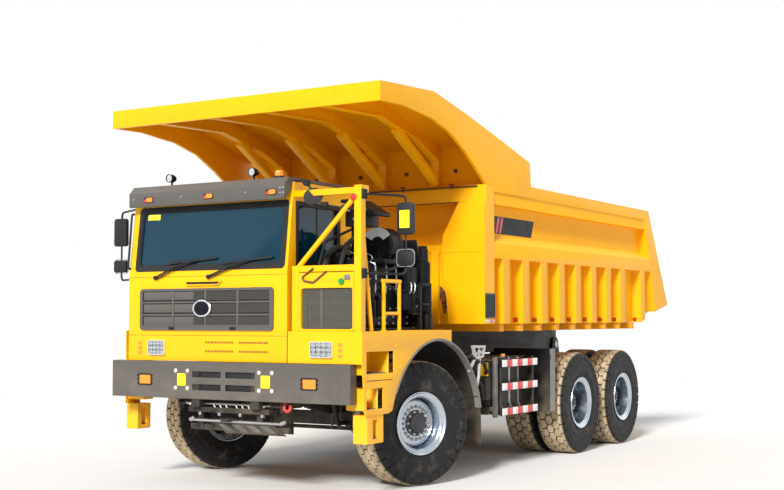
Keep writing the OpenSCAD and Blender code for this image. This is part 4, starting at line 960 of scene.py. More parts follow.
def bumper_details():
    """Lamp surrounds, plates, bolts and studs on the bumper's face."""
    bezels, bolts, plates, marks = (Part() for _ in range(4))
    for x0, x1 in ((-1.335, -1.115), (1.105, 1.325)):
        bezels.frame(rounded((x0, 1.2), (x1, 1.34), 0.018), rounded((x0 + 0.02, 1.2165), (x1 - 0.02, 1.3235), 0.008),
            "Y", -4.819, -4.79)
        for z in (1.222, 1.27, 1.318):
            for x in (x0 - 0.004, x1 + 0.004):
                bezels.box((x - 0.01, -4.819, z - 0.007), (x + 0.01, -4.808, z + 0.007))
    for x in (-0.645, 0.605):
        plates.prism(rounded((x - 0.065, 1.208), (x + 0.065, 1.352), 0.01), "Y", -4.819, -4.812, 0.001)
        for dx in (-0.092, 0.092):
            for z in (1.18, 1.385):
                bolts.rod((x + dx, -4.805, z), (x + dx, -4.823, z), 0.026, 16, soft=0.005)
    for x, z in ((1.5, 1.4), (1.56, 1.4), (1.62, 1.4), (1.53, 1.3), (1.6, 1.3)):
        marks.rod((x, -4.81, z), (x, -4.819, z), 0.01, 10)
    bezels.finished("bumper_lamp_bezels", trim)
    plates.finished("bumper_plates", bright_plate)
    bolts.finished("bumper_bolts", pale_plate)
    marks.finished("bumper_studs", warm_grey)
    # Seen through the slots: a dark box, painted shade of the bumper's inside
    core = Part().box((-0.56, -4.79, 1.12), (0.52, -4.77, 1.42), 0.004)
    core.finished("slot_backing", trim)


def under_bumper():
    """Rods, clips, the slatted skid plate and the hook below the bumper."""
    rods, pale, plate, hook = (Part() for _ in range(4))
    rods.rod((-0.66, -4.7, 1.0), (0.6, -4.7, 1.0), 0.014, 10)
    rods.rod((-0.57, -4.715, 0.805), (0.77, -4.715, 0.8), 0.018, 12)
    for x in (-0.57, 0.77):
        rods.rod((x - 0.02, -4.715, 0.8), (x + 0.05, -4.715, 0.83), 0.026, 12, soft=0.006)
    for x in (-0.42, -0.13, 0.18, 0.5):
        rods.rod((x, -4.745, 0.884), (x, -4.7, 0.884), 0.022, 12, soft=0.004)
    rods.finished("front_rods", steel)
    for x in (-0.21, -0.12, -0.03, 0.12, 0.21, 0.3, 0.39):
        pale.pipe([(x - 0.015, -4.72, 0.99), (x + 0.018, -4.725, 0.945)], 0.009, 0.01, 8)
    for x in (-0.6, 0.5):
        pale.rod((x, -4.69, 0.99), (x, -4.714, 0.99), 0.017, 10, soft=0.003)
    pale.finished("front_clips", pale_plate)
    sheet = Part()
    corners = [(-0.235, 0.785), (0.64, 0.785), (0.83, 0.665), (-0.045, 0.665)]
    sheet.prism(corners, "Y", -4.712, -4.7, 0.002)
    sheet.finished("skid_plate", black)
    for i in range(4):
        x = -0.165 + i * 0.205
        plate.prism([(x, 0.768), (x + 0.115, 0.768), (x + 0.245, 0.686), (x + 0.13, 0.686)], "Y", -4.7155, -4.711,
            0.001)
    plate.finished("skid_plate_slats", cast)
    hook.pipe([(0.8, -4.7, 1.04), (0.8, -4.72, 0.975), (0.84, -4.72, 0.945), (0.89, -4.72, 0.97),
        (0.885, -4.71, 1.02)], 0.02, 0.03, 10)
    hook.finished("tow_hook", red_paint)


# ---------------------------------------------------------------- inside the cab

CAB_RIGHT, CAB_LEFT = -1.545, 0.87
CAB_WALL = 0.06
CAB_BACK = -3.3
FLOOR_IN = 1.83


def cab_lining():
    """Headliner, back trim, floor mat and pillar trims."""
    lining = Part()
    x0, x1 = CAB_RIGHT + CAB_WALL, CAB_LEFT - CAB_WALL
    back = CAB_BACK - CAB_WALL
    lining.box((x0, -4.62, FLOOR_IN), (x1, back - 0.001, FLOOR_IN + 0.012), 0.003)
    low, high, behind, inner = FLOOR_IN + 0.012, back - 0.001, back - 0.022, back - 0.023
    for a, b in (
            ((x0, behind, low), (x1, high, 2.7)), ((x0, behind, 3.32), (x1, high, 3.57)),
            ((x0, behind, 2.7), (-1.12, high, 3.32)), ((0.52, behind, 2.7), (x1, high, 3.32)),
            ((x1 - 0.02, -4.6, low), (x1 - 0.001, inner, 2.6)), ((x1 - 0.02, -4.55, 3.37), (x1 - 0.001, inner, 3.57)),
            ((x1 - 0.02, -3.69, 2.6), (x1 - 0.001, inner, 3.37)), ((x0 + 0.001, -3.62, low), (x0 + 0.02, inner, 3.57)),
            ((x0 + 0.021, -4.5, 3.545), (x1 - 0.021, inner, 3.578))):
        lining.box(a, b, 0.005)
    lining.finished("cab_lining", cab_trim)


def cushion(low, high, channels=3):
    """A crowned cushion: its sides pull in between the corners and sewn channels run across it."""
    low, high = Vector(low), Vector(high)
    middle, half = (low + high) / 2, (high - low) / 2
    pad = Part()
    verts = pad.bm.verts
    bmesh.ops.create_cube(pad.bm, size=2.0)
    bmesh.ops.subdivide_edges(pad.bm, edges=list(pad.bm.edges), cuts=18, use_grid_fill=True)
    thin = min(range(3), key=lambda i: half[i])
    wide = [i for i in range(3) if i != thin]
    for v in verts:
        u, w, t = v.co[wide[0]], v.co[wide[1]], v.co[thin]
        crown = (1 - abs(u) ** 3.2) * (1 - abs(w) ** 3.2)
        pull = 1 - 0.045 * (1 - min(u * u, w * w))
        seam = min([abs((w * 0.5 + 0.5) * channels - k) for k in range(1, channels)] or [1.0])
        dent = math.exp(-(seam / 0.1) ** 2) * 0.2 * crown
        rim = 0.985 if max(abs(u), abs(w)) > 0.9 and abs(t) > 0.95 else 1.0
        for axis, way in zip(wide, (u, w)):
            v.co[axis] = way * (pull if abs(way) > 0.97 else 1.0) * rim
        v.co[thin] = t * (0.6 + 0.4 * crown - dent)
    bmesh.ops.smooth_vert(pad.bm, verts=verts, factor=0.5, use_axis_x=True, use_axis_y=True, use_axis_z=True)
    for v in verts:
        v.co = Vector([middle[i] + v.co[i] * half[i] for i in range(3)])
    return pad.outward()


def seat(label, x):
    """A seat on its bellows: a plinth, three padded pieces and the posts of the head rest."""
    base, posts = Part(), Part()
    base.box((x - 0.15, -3.95, FLOOR_IN), (x + 0.15, -3.6, 2.14), 0.02)
    for dx in (-0.256, 0.24):
        base.box((x + dx, -3.66, 2.16), (x + dx + 0.016, -3.515, 2.37), 0.005)
    for z in (1.9, 1.96, 2.02, 2.08):
        base.box((x - 0.175, -3.96, z), (x + 0.175, -3.58, z + 0.034), 0.016)
    base.box((x - 0.235, -4.12, 2.125), (x + 0.235, -3.58, 2.165), 0.012)
    for side in (1, -1):
        base.pipe([(x + side * 0.27, -3.6, 2.24), (x + side * 0.29, -3.62, 2.46), (x + side * 0.29, -3.95, 2.47)],
            0.022)
        posts.rod((x + side * 0.05, -3.53, 2.8), (x + side * 0.05, -3.53, 2.93), 0.008, 8)
    base.finished(f"seat_base_{label}", cab_trim)
    posts.finished(f"headrest_posts_{label}", steel)
    for name, low, high, channels in (
            ("cushion", (-0.26, -4.15, 2.15), (0.26, -3.56, 2.292), 3),
            ("back", (-0.25, -3.605, 2.285), (0.25, -3.468, 2.86), 4),
            ("headrest", (-0.15, -3.585, 2.88), (0.15, -3.475, 3.05), 1)):
        pad = cushion((x + low[0], *low[1:]), (x + high[0], *high[1:]), channels)
        stands_for = ("seats",) if (name, label) == ("cushion", "driver") else ()
        pad.finished(f"seat_{name}_{label}", seat_cloth, replaces=stands_for, smooth=60)


def dashboard():
    """Dashboard with its hood, the steering wheel on its column and the switches."""
    dash = Part()
    x0, x1 = -1.44, 0.76
    front = -4.704
    outline = [(front, FLOOR_IN + 0.012), (front, 2.47), (-4.62, 2.49), (-4.44, 2.47), (-4.355, 2.38), (-4.35, 2.2),
        (-4.42, 2.08), (-4.46, FLOOR_IN + 0.012)]
    dash.prism(outline, "X", x0, x1, 0.012)
    dash.prism([(-4.52, 2.46), (-4.4, 2.545), (-4.34, 2.5), (-4.345, 2.36), (-4.52, 2.4)], "X", -1.3, -0.8, 0.012)
    dash.finished("dashboard_skin", cab_trim, replaces=("dashboard",))
    column = Matrix.Translation((-1.05, -4.205, 2.56)) @ Matrix.Rotation(math.radians(-35), 4, "X")
    ring = [(0.012 * math.sin(TAU * k / 10), 0.205 + 0.012 * math.cos(TAU * k / 10)) for k in range(10)]
    part = Part().lathe(ring, "Z", (0, 0, 0.015), 48)
    part.lathe([(-0.02, 0), (-0.02, 0.045), (0.012, 0.055), (0.024, 0.045), (0.026, 0)], "Z", steps=24)
    for a in (0.35, 2.79, 4.71):
        part.rod((0.04 * math.cos(a), 0.04 * math.sin(a), 0.006), (0.2 * math.cos(a), 0.2 * math.sin(a), 0.014), 0.011,
            8)
    wheel = Part().join(part.moved(column))
    wheel.rod((-1.05, -4.365, 2.36), (-1.05, -4.205, 2.56), 0.03, 16)
    wheel.finished("steering_wheel", trim)
    dials = Part()
    for x in (-1.19, -1.05, -0.91):
        dials.rod((x, -4.345, 2.445), (x, -4.352, 2.475), 0.042, 20)
    for i in range(8):
        dials.box((-0.62 + i * 0.07, -4.352, 2.3), (-0.58 + i * 0.07, -4.343, 2.35), 0.003)
    dials.finished("dashboard_switches", trim)


def window_trims():
    """Black seals round the deck-side, back and door windows, and their handles."""
    seals = Part()
    x = CAB_LEFT
    seals.frame([(-4.6, 2.61), (-3.69, 2.61), (-3.69, 3.36), (-4.6, 3.36)], [(-4.545, 2.665), (-3.745, 2.665),
        (-3.745, 3.305), (-4.545, 3.305)], "X", x - 0.004, x + 0.006)
    seals.frame(rounded((-1.115, 2.705), (0.515, 3.315), 0.05), rounded((-1.065, 2.755), (0.465, 3.265), 0.04), "Y",
        -3.304, -3.294)
    seals.box((x - 0.036, -4.162, 2.625), (x - 0.018, -4.138, 3.345), 0.003)
    seals.finished("cab_window_seals", trim)
    door = Part()
    x = CAB_RIGHT
    door.frame(rounded((-4.41, 2.61), (-3.73, 3.32), 0.05), rounded((-4.36, 2.66), (-3.78, 3.27), 0.04), "X",
        x - 0.005, x + 0.004)
    door.box((x - 0.03, -3.79, 2.4), (x - 0.002, -3.7, 2.43), 0.006)
    door.frame(rounded((-3.9, 2.35), (-3.69, 2.47), 0.03), rounded((-3.885, 2.365), (-3.705, 2.455), 0.02), "X",
        x - 0.008, x + 0.002)
    door.finished("door_window_seal", trim, DOOR)
    grab = Part().pipe([(x + 0.01, -3.6, 2.05), (x - 0.06, -3.6, 2.05), (x - 0.06, -3.6, 3.1), (x + 0.01, -3.6, 3.1)],
        0.016, 0.04, 10)
    grab.pipe([(x + 0.01, -4.56, 2.05), (x - 0.06, -4.56, 2.05), (x - 0.06, -4.56, 2.9), (x + 0.01, -4.56, 2.9)],
        0.016, 0.04, 10)
    grab.finished("cab_grab_rails", yellow)


# ---------------------------------------------------------------- deck, guard posts and steps

ARCH_Y, ARCH_Z, ARCH_R = -3.055, 0.635, 1.12
DECK_X, DECK_Z, DECK_TAIL = 1.885, 1.86, -2.735


def arch_trim():
    """Grey rubber lip round each front arch."""
    lip = Part()
    for side, first in ((1, -62), (-1, -40)):
        start, end, steps = math.radians(first), math.radians(78), 40
        angles = [start + (end - start) * i / steps for i in range(steps + 1)]
        outer, inner = ([(ARCH_Y + math.sin(a) * r, ARCH_Z + math.cos(a) * r) for a in angles]
                        for r in (ARCH_R + 0.004, ARCH_R - 0.022))
        low, high = sorted((side * (DECK_X - 0.075), side * (DECK_X + 0.004)))
        lip.prism(outer + inner[::-1], "X", low, high)
    lip.finished("arch_lips", lip_rubber)


def deck_details():
    """Non-slip bars on the deck, bolts along its edges, the small brace at its tail and the panel folds."""
    bars = Part()
    for down, start, step, drop in ((14, (1.66, -4.05, DECK_Z), 0.075, 0.09),
            (17, (-1.81, -4.38, DECK_Z), 0.09, 0.095)):
        bar = Part().box((-0.03, -0.006, -0.001), (0.03, 0.006, 0.004), 0.001)
        bars.grid(bar, 3, down, start, (step, 0, 0), (0, drop, 0))
    bars.finished("deck_tread_bars", yellow)
    tail, under = DECK_TAIL - 0.006, DECK_Z - 0.012
    brace = Part().prism([(DECK_TAIL - 0.26, under), (tail, under), (tail, DECK_Z - 0.105)], "X", DECK_X - 0.06,
        DECK_X - 0.013, 0.003)
    brace.both_sides().finished("deck_braces", yellow)
    folds = Part().box((DECK_X, -4.66, 1.312), (DECK_X + 0.003, -4.13, 1.318))
    folds.both_sides().finished("side_panel_seams", trim)
    places = ((-4.7, 1.75), (-4.7, 1.56), (-2.8, 1.81), (-4.3, 1.81), (-4.06, 1.7), (-4.7, 1.32))
    Part().bolts([(DECK_X - 0.002, y, z) for y, z in places], 0.022, 0.012).finished("deck_bolts", yellow)


def step_treads():
    """Perforated treads in the pockets and on the hanging steps."""
    treads = Part()
    for low, high in (
            ((1.64, -4.66, 1.392), (1.87, -4.205, 1.4)), ((1.64, -4.655, 1.002), (1.87, -4.435, 1.01)),
            ((1.69, -4.638, 0.672), (1.87, -4.307, 0.68)), ((-1.87, -4.395, 1.392), (-1.64, -4.255, 1.4)),
            ((-1.87, -4.395, 1.002), (-1.64, -4.255, 1.01)), ((-1.87, -4.438, 0.672), (-1.69, -4.207, 0.68))):
        x0, y0, z0 = low
        x1, y1, z1 = high
        count = int((y1 - y0) / 0.032)
        unit = Part().box((0, 0, 0), (x1 - x0, 0.012, z1 - z0), 0.001)
        treads.grid(unit, 1, count, (x0, y0 + 0.004, z0), drop=(0, (y1 - y0 - 0.02) / count, 0))
    treads.finished("step_treads", cast)


def guard_post_parts():
    """Red lamp on the tall post, the clamps of the mirror arms and the feet of the hoop."""
    lamp = Part().lathe([(0, 0), (0, 0.04), (-0.014, 0.038), (-0.024, 0.026), (-0.026, 0)], "Y",
        (1.762, -4.745, 3.345), 24)
    lamp.outward().finished("post_lamp", red)
    clamps = Part()
    for z in (2.5, 3.38):
        clamps.box((1.8595, -4.735, z - 0.055), (1.885, -4.655, z + 0.055), 0.005)
        clamps.bolts([(1.884, -4.715, z - 0.035), (1.884, -4.675, z - 0.035), (1.884, -4.715, z + 0.035),
            (1.884, -4.675, z + 0.035)], 0.018, 0.012)
    clamps.finished("mirror_clamps", trim)
    hoop = Part()
    for y in (-4.205, -3.865):
        hoop.lathe([(0, 0), (0, 0.05), (0.008, 0.05), (0.008, 0)], "Z", (1.815, y, DECK_Z), 16)
    hoop.finished("rail_feet", yellow)


def mirrors():
    """Two mirror heads on each side, their arms and the loop round the lower one."""
    shells, glass, arms, loops = (Part() for _ in range(4))
    y = -4.3
    for z0, z1 in ((2.94, 3.3), (2.6, 2.76)):
        shells.prism(rounded((2.05, z0), (2.26, z1), 0.035, 6), "Y", y, y + 0.052, 0.01)
        glass.prism(rounded((2.064, z0 + 0.014), (2.246, z1 - 0.014), 0.026, 6), "Y", y + 0.05, y + 0.058, 0.001)
    for side, foot, y in ((1, 1.88, -4.695), (-1, 1.56, -4.585)):
        for z, turn in ((3.38, -1), (2.5, 1)):
            arms.pipe([(side * foot, y, z), (side * 2.11, -4.285, z), (side * 2.15, -4.27, z + 0.02 * turn),
                (side * 2.15, -4.27, z + 0.16 * turn)], 0.0135, 0.06, 10)
        arms.rod((side * 2.15, -4.27, 2.7), (side * 2.15, -4.27, 3.02), 0.012, 10)
    for z in (2.5, 3.38):
        arms.box((-1.566, -4.62, z - 0.05), (-1.5455, -4.55, z + 0.05), 0.005)
    loops.frame(rounded((2.03, 2.58), (2.2605, 2.78), 0.05), rounded((2.039, 2.589), (2.2515, 2.771), 0.045), "Y",
        -4.278, -4.266)
    shells.both_sides().finished("mirror_shells", trim, replaces=("mirrors",))
    glass.both_sides().finished("mirror_glasses", mirror_glass)
    arms.finished("mirror_arms", trim)
    loops.both_sides().finished("mirror_loops", steel)
    plate = Part().prism(rounded((2.085, 3.015), (2.215, 3.215), 0.008), "Y", -4.3025, -4.2995)
    plate.finished("mirror_plate", bright_plate)
    # The round mirror that looks down on the front, on a bent arm from the cab's corner
    dish, arm = Part(), Part()
    centre = (1.15, -4.65, 3.39)
    dish.lathe([(0.03, 0), (0.026, 0.06), (0.01, 0.105), (0, 0.114), (-0.01, 0.114), (-0.01, 0.104), (0, 0)], "Y",
        steps=36)
    dish.outward().moved(Matrix.Translation(centre) @ Matrix.Rotation(math.radians(-28), 4, "X")
        @ Matrix.Rotation(math.radians(18), 4, "Z"))
    dish.finished("round_mirror_shell", trim)
    arm.pipe([(0.86, -4.6, 3.585), (0.98, -4.62, 3.59), (1.06, -4.64, 3.555), (1.14, -4.63, 3.42)], 0.013, 0.03, 8)
    arm.lathe([(0, 0), (0, 0.04), (0.05, 0.04), (0.05, 0)], "Y", (1.05, -4.665, 3.555), 16)
    arm.pipe([(1.2, -4.64, 3.34), (1.32, -4.66, 3.285), (1.62, -4.7, 3.23), (1.77, -4.7, 3.225)], 0.012, 0.04, 8)
    for x in (1.33, 1.6):
        arm.box((x - 0.035, -4.7, 3.235 if x > 1.5 else 3.265), (x + 0.035, -4.65, 3.275 if x > 1.5 else 3.32), 0.008)
    arm.finished("round_mirror_arm", trim)


# ---------------------------------------------------------------- engine deck

CLEANER_X, CLEANER_Z = 1.435, 2.88
CYLINDER_Y = [-4.22 + k * 0.165 for k in range(6)]


def radiator_cowl():
    """Yellow cowl round the cooler with its wire mesh, header tank and the folded arm above."""
    cowl, mesh, core, tank, cap = (Part() for _ in range(5))
    cowl.frame(rounded((0.955, 1.862), (1.765, 2.405), 0.03), rounded((1.045, 1.885), (1.745, 2.345), 0.03), "Y",
        -4.742, -4.655)
    cowl.prism([(-4.742, 2.395), (-4.742, 2.52), (-4.66, 2.525), (-4.5, 2.525), (-4.5, 2.395)], "X", 1.0, 1.765, 0.012)
    cowl.finished("cooler_cowl", yellow)
    core.box((1.06, -4.64, 1.862), (1.76, -4.5, 2.52), 0.01)
    core.finished("cooler_core", engine_black, replaces=("radiator",))
    rod = Part().box((-0.0035, -0.002, 0), (0.0035, 0.002, 0.455))
    mesh.grid(rod, 39, 1, (1.055, -4.712, 1.888), (0.018, 0, 0))
    rod = Part().box((0, -0.002, -0.0035), (0.695, 0.002, 0.0035))
    mesh.grid(rod, 1, 25, (1.05, -4.714, 1.897), drop=(0, 0, 0.018))
    mesh.box((1.3, -4.72, 1.885), (1.322, -4.706, 2.345), 0.002)
    mesh.finished("cooler_mesh", mesh_grey)
    fins = Part()
    unit = Part().box((0, 0, 0), (0.66, 0.008, 0.005))
    fins.grid(unit, 1, 21, (1.075, -4.646, 1.9), drop=(0, 0, 0.021))
    fins.finished("cooler_fins", cast)
    tank.box((1.636, -4.754, 2.428), (1.716, -4.72, 2.49), 0.012)
    tank.finished("header_tank", plate_grey, slot="polished_rod")
    cap.lathe([(0, 0), (0, 0.034), (0.024, 0.034), (0.03, 0.028), (0.03, 0)], "Y", (1.605, -4.772, 2.415), 18)
    cap.finished("header_cap", cap_green)
    arm = Part().pipe([(1.22, -4.75, 2.565), (1.06, -4.75, 2.462), (1.1, -4.75, 2.425), (1.22, -4.75, 2.405),
        (1.4, -4.75, 2.53)], 0.012, 0.02, 8)
    arm.finished("prop_arm", brown_steel)


def engine_block():
    """The block's covers, pulleys, belts, filters and pipes."""
    face = -3.734
    guard, block, bright, hoses = (Part() for _ in range(4))
    # Bare plate over the upper half of the air cleaner's face, its bright pale blue painted light
    fan = [math.radians(-58 + 116 * i / 12) for i in range(13)]
    arc = [(CLEANER_X + r * math.sin(a), CLEANER_Z + r * math.cos(a))
           for r, line in ((0.205, fan), (0.095, fan[::-1])) for a in line]
    guard.prism(arc, "Y", face - 0.004, face + 0.006)
    guard.finished("cleaner_plate", blue_plate)
    for y in CYLINDER_Y:
        block.box((1.045, y - 0.068, 2.64), (1.3, y + 0.068, 2.76), 0.022)
        block.box((1.315, y - 0.055, 2.6), (1.49, y + 0.055, 2.69), 0.018)
    block.box((0.975, -4.455, 1.905), (1.555, -3.005, 2.06), 0.02)
    block.box((1.0, -4.44, 2.06), (1.53, -3.05, 2.4), 0.03)
    block.box((1.03, -4.3, 2.4), (1.5, -3.2, 2.64), 0.02)
    block.box((1.5, -3.42, 2.06), (1.69, -3.2, 2.62), 0.02)
    block.box((1.5, -3.4, 2.61), (1.64, -3.18, 2.7), 0.02)
    for y in (-4.44, -3.18):
        block.box((1.0, y, DECK_Z), (1.52, y + 0.14, 1.92), 0.01)
    block.lathe([(0, 0), (0, 0.215), (0.06, 0.225), (0.16, 0.225), (0.16, 0)], "Y", (1.265, -3.045 - 0.16, 2.215), 40)
    for x, z, r in (
            (1.3, 2.3, 0.135), (1.13, 2.12, 0.085), (1.48, 2.13, 0.075), (1.48, 2.48, 0.06), (1.18, 2.54, 0.065)):
        block.lathe([(0, 0), (0, r), (0.01, r), (0.018, r * 0.86), (0.03, r * 0.86), (0.038, r), (0.048, r),
            (0.048, 0)], "Y", (x, -4.5, z), 32)
        bright.lathe([(-0.012, 0), (-0.012, 0.018), (0.002, 0.022), (0.002, 0)], "Y", (x, -4.5, z), 8)
    block.outward().finished("engine_block", engine_black, replaces=("engine",))
    pipes = Part()
    bright.bolts([(1.554, -4.38 + 0.16 * k, z) for k in range(9) for z in (1.945, 2.02)], 0.021, 0.014)
    bright.bolts([(1.529, -4.36 + 0.15 * k, z) for k in range(9) for z in (2.12, 2.35)], 0.02, 0.014)
    bright.bolts([(1.499, -4.24 + 0.12 * k, 2.465) for k in range(9)], 0.018, 0.012)
    for y in CYLINDER_Y:
        bright.bolts([(1.075, y, 2.759), (1.27, y, 2.759), (1.345, y, 2.689), (1.46, y, 2.689)], 0.02, 0.014, "Z")
        pipes.pipe([(1.25, y + 0.03, 2.758), (1.33, y + 0.03, 2.785), (1.44, y + 0.02, 2.74), (1.488, y + 0.01, 2.6)],
            0.007, 0.03, 8)
    pipes.finished("engine_fuel_pipes", steel)
    for y, z in ((-3.415, 2.3), (-3.33, 2.3), (-3.25, 2.14)):
        bright.pipe([(1.685, y, z), (1.712, y, z + 0.03), (1.712, y + 0.01, z + 0.1), (1.69, y + 0.02, z + 0.13)],
            0.009, 0.02, 8)
    for y in (-3.96, -3.72, -3.5):
        bright.pipe([(1.48, y, 2.66), (1.54, y + 0.01, 2.64), (1.545, y + 0.02, 2.44), (1.52, y + 0.03, 2.3)], 0.011,
            0.03, 8)
    bright.finished("engine_fasteners", steel)
    belt, crank = Part(), (1.3, 2.3, 0.135)
    for loop in ((crank, (1.13, 2.12, 0.085), (1.48, 2.13, 0.075)), (crank, (1.48, 2.48, 0.06), (1.18, 2.54, 0.065))):
        belt.frame(belt_line(loop), belt_line([(x, z, r - 0.01) for x, z, r in loop]), "Y", -4.488, -4.464)
    belt.finished("drive_belts", hose_rubber)
    # Two spin-on filters and the pipes between cooler, block and intake
    cans = Part()
    for y, z in ((-4.18, 2.22), (-4.03, 2.22), (-3.42, 2.3)):
        cans.lathe([(-0.1, 0), (-0.1, 0.052), (-0.092, 0.06), (0.085, 0.06), (0.1, 0.05), (0.1, 0)], "Z",
            (1.625, y, z - 0.1), 20)
        cans.box((1.52, y - 0.03, z), (1.66, y + 0.03, z + 0.05), 0.01)
    cans.outward().finished("filters", engine_black)
    for line, radius, bend, sides in (
            ([(1.18, -4.505, 2.4), (1.18, -4.42, 2.72), (1.16, -4.2, 2.82), (1.15, -3.9, 2.82)], 0.045, 0.1, 14),
            ([(1.6, -4.505, 2.05), (1.66, -4.36, 2.02), (1.62, -4.3, 2.12), (1.54, -4.26, 2.16)], 0.035, 0.08, 12),
            ([(1.42, -4.1, 2.66), (1.42, -4.12, 2.9), (1.4, -4.06, 3.06)], 0.055, 0.1, 14),
            ([(1.66, -4.44, 1.877), (1.7, -4.2, 1.88), (1.68, -3.9, 1.877), (1.7, -3.5, 1.88), (1.66, -3.2, 1.877)],
             0.018, 0.12, 10),
            ([(1.58, -3.84, 2.42), (1.64, -3.7, 2.36), (1.62, -3.5, 2.2), (1.66, -3.3, 2.05)], 0.014, 0.1, 8),
            ([(1.02, -4.45, 2.38), (1.0, -4.2, 2.9), (1.24, -3.9, 3.08)], 0.016, 0.1, 8),
            ([(1.52, -4.3, 2.3), (1.66, -4.22, 2.42), (1.66, -3.98, 2.44), (1.52, -3.78, 2.3)], 0.016, 0.09, 10),
            ([(1.49, -4.0, 2.52), (1.66, -3.92, 2.56), (1.66, -3.66, 2.6), (1.58, -3.58, 2.72)], 0.02, 0.09, 10),
            ([(1.3, -4.42, 2.39), (1.36, -4.3, 2.84), (1.38, -4.1, 2.96), (1.4, -4.0, 3.09)], 0.03, 0.09, 12)):
        hoses.pipe(line, radius, bend, sides)
    hoses.finished("engine_hoses", hose_rubber)


def belt_line(pulleys):
    """Outline of a tight belt round pulleys given as (x, z, radius), as 64 points of their convex hull."""
    rim = [(x + r * math.cos(TAU * k / 48), z + r * math.sin(TAU * k / 48)) for x, z, r in pulleys for k in range(48)]
    cx, cz = (sum(p[i] for p in rim) / len(rim) for i in (0, 1))
    return [max(rim, key=lambda p: (p[0] - cx) * math.cos(a) + (p[1] - cz) * math.sin(a))
        for a in (TAU * k / 64 for k in range(64))]


def intake():
    """Air cleaner lying along the truck, its intake box with a tilted lid, and brackets."""
    can, box, bright = Part(), Part(), Part()
    can.lathe([(0, 0), (0, 0.16), (-0.012, 0.176), (0.002, 0.19), (0.012, 0.206), (0.03, 0.206), (0.04, 0.196),
        (0.18, 0.196), (0.188, 0.204), (0.212, 0.204), (0.22, 0.196), (0.28, 0.19), (0.3, 0.15), (0.3, 0)], "Y",
        (CLEANER_X, -3.72, CLEANER_Z), 40)
    can.outward()
    for k in range(8):
        a = TAU * k / 8 + 0.2
        inner, outer = ((CLEANER_X + r * math.cos(a), -3.724, CLEANER_Z + r * math.sin(a)) for r in (0.03, 0.17))
        can.rod(inner, outer, 0.008, 6)
    for y in (-3.66, -3.49):
        can.box((1.3, y - 0.025, 2.69), (1.57, y + 0.025, 2.74), 0.008)
    can.box((1.185, -3.9, 2.645), (1.64, -3.42, 2.7), 0.01)
    can.finished("air_cleaner", engine_black, replaces=("air_intake",))
    box.prism([(1.3, 3.065), (1.56, 3.065), (1.56, 3.27), (1.3, 3.32)], "Y", -4.225, -3.89, 0.012)
    box.prism([(1.235, 3.352), (1.26, 3.385), (1.43, 3.385), (1.7, 3.225), (1.712, 3.19), (1.66, 3.18), (1.42, 3.3)],
        "Y", -4.245, -3.87, 0.01)
    box.box((1.335, -4.235, 3.1), (1.35, -4.222, 3.29), 0.003)
    box.box((1.33, -4.14, 2.64), (1.42, -4.05, 3.07), 0.01)
    box.finished("intake_box", engine_black)
    for x, z in ((1.43, 3.15), (1.49, 3.145), (1.36, 3.25)):
        bright.rod((x, -4.224, z), (x, -4.236, z), 0.012, 10)
    for x, z in ((1.5, 3.318), (1.6, 3.255)):
        bright.rod((x, -4.242, z), (x, -4.256, z), 0.012, 10)
    bright.finished("intake_bolts", steel)


def exhaust():
    """Silencer behind its slanted shield, the shield's frame and the outlet."""
    pipe, shield, stand = Part(), Part(), Part()
    pipe.lathe([(0, 0), (0, 0.06), (0.04, 0.085), (0.62, 0.085), (0.66, 0.06), (0.79, 0.058), (0.8, 0.05),
        (0.7, 0.048), (0.7, 0)], "Z", (1.68, -3.07, 2.05), 28)
    pipe.outward()
    pipe.box((1.595, -3.16, DECK_Z), (1.765, -2.975, 2.055), 0.02)
    pipe.finished("silencer", engine_black, replaces=("exhaust",))
    shield.prism([(-3.29, 2.95), (-3.262, 2.95), (-3.175, 2.75), (-3.08, 2.64), (-3.08, 2.43), (-3.11, 2.43),
        (-3.11, 2.63), (-3.2, 2.735), (-3.29, 2.925)], "X", 1.48, 1.7, 0.004)
    shield.box((1.54, -2.9645, DECK_Z), (1.665, -2.9405, 2.895), 0.008)
    shield.box((1.54, -2.97, 1.99), (1.7, -2.96, 2.05), 0.002)
    shield.finished("heat_shield", engine_black)
    for y in (-3.29, -3.055):
        stand.box((1.735, y - 0.022, DECK_Z), (1.775, y + 0.022, 2.425), 0.005)
    stand.box((1.735, -3.31, 2.39), (1.775, -3.035, 2.43), 0.005)
    stand.box((1.735, -3.31, 2.16), (1.775, -3.035, 2.185), 0.004)
    stand.finished("shield_frame", engine_black)


# ---------------------------------------------------------------- rock body

BODY_X, SIDE_X = 2.018, 1.868
RIB_BACK_Y = [-1.375 + 0.596 * k for k in range(8)] + [3.705]
RIB_W = 0.2
CORNER_Y, WALL_Y = -2.1, -1.816


def markers():
    """Small red lamps at the foot of each rib and the strips below the corner window."""
    lamps, cups, white = Part(), Part(), Part()
    for y in RIB_BACK_Y[1:]:
        front = y - RIB_W
        lamps.prism(rounded((1.885, 1.958), (1.935, 2.004), 0.012), "Y", front - 0.012, front - 0.0045, 0.002)
        cups.prism(rounded((1.879, 1.952), (1.941, 2.01), 0.014), "Y", front - 0.0055, front - 0.0002)
    for part, y0, y1 in ((lamps, -1.95, -1.824), (white, -2.085, -1.955)):
        part.prism(rounded((y0, 1.947), (y1, 1.985), 0.006), "X", BODY_X, BODY_X + 0.006, 0.001)
    lamps.both_sides().finished("body_markers", red, TIPPING)
    cups.both_sides().finished("body_marker_cups", trim, TIPPING)
    white.both_sides().finished("body_reflectors", pale_plate, TIPPING)


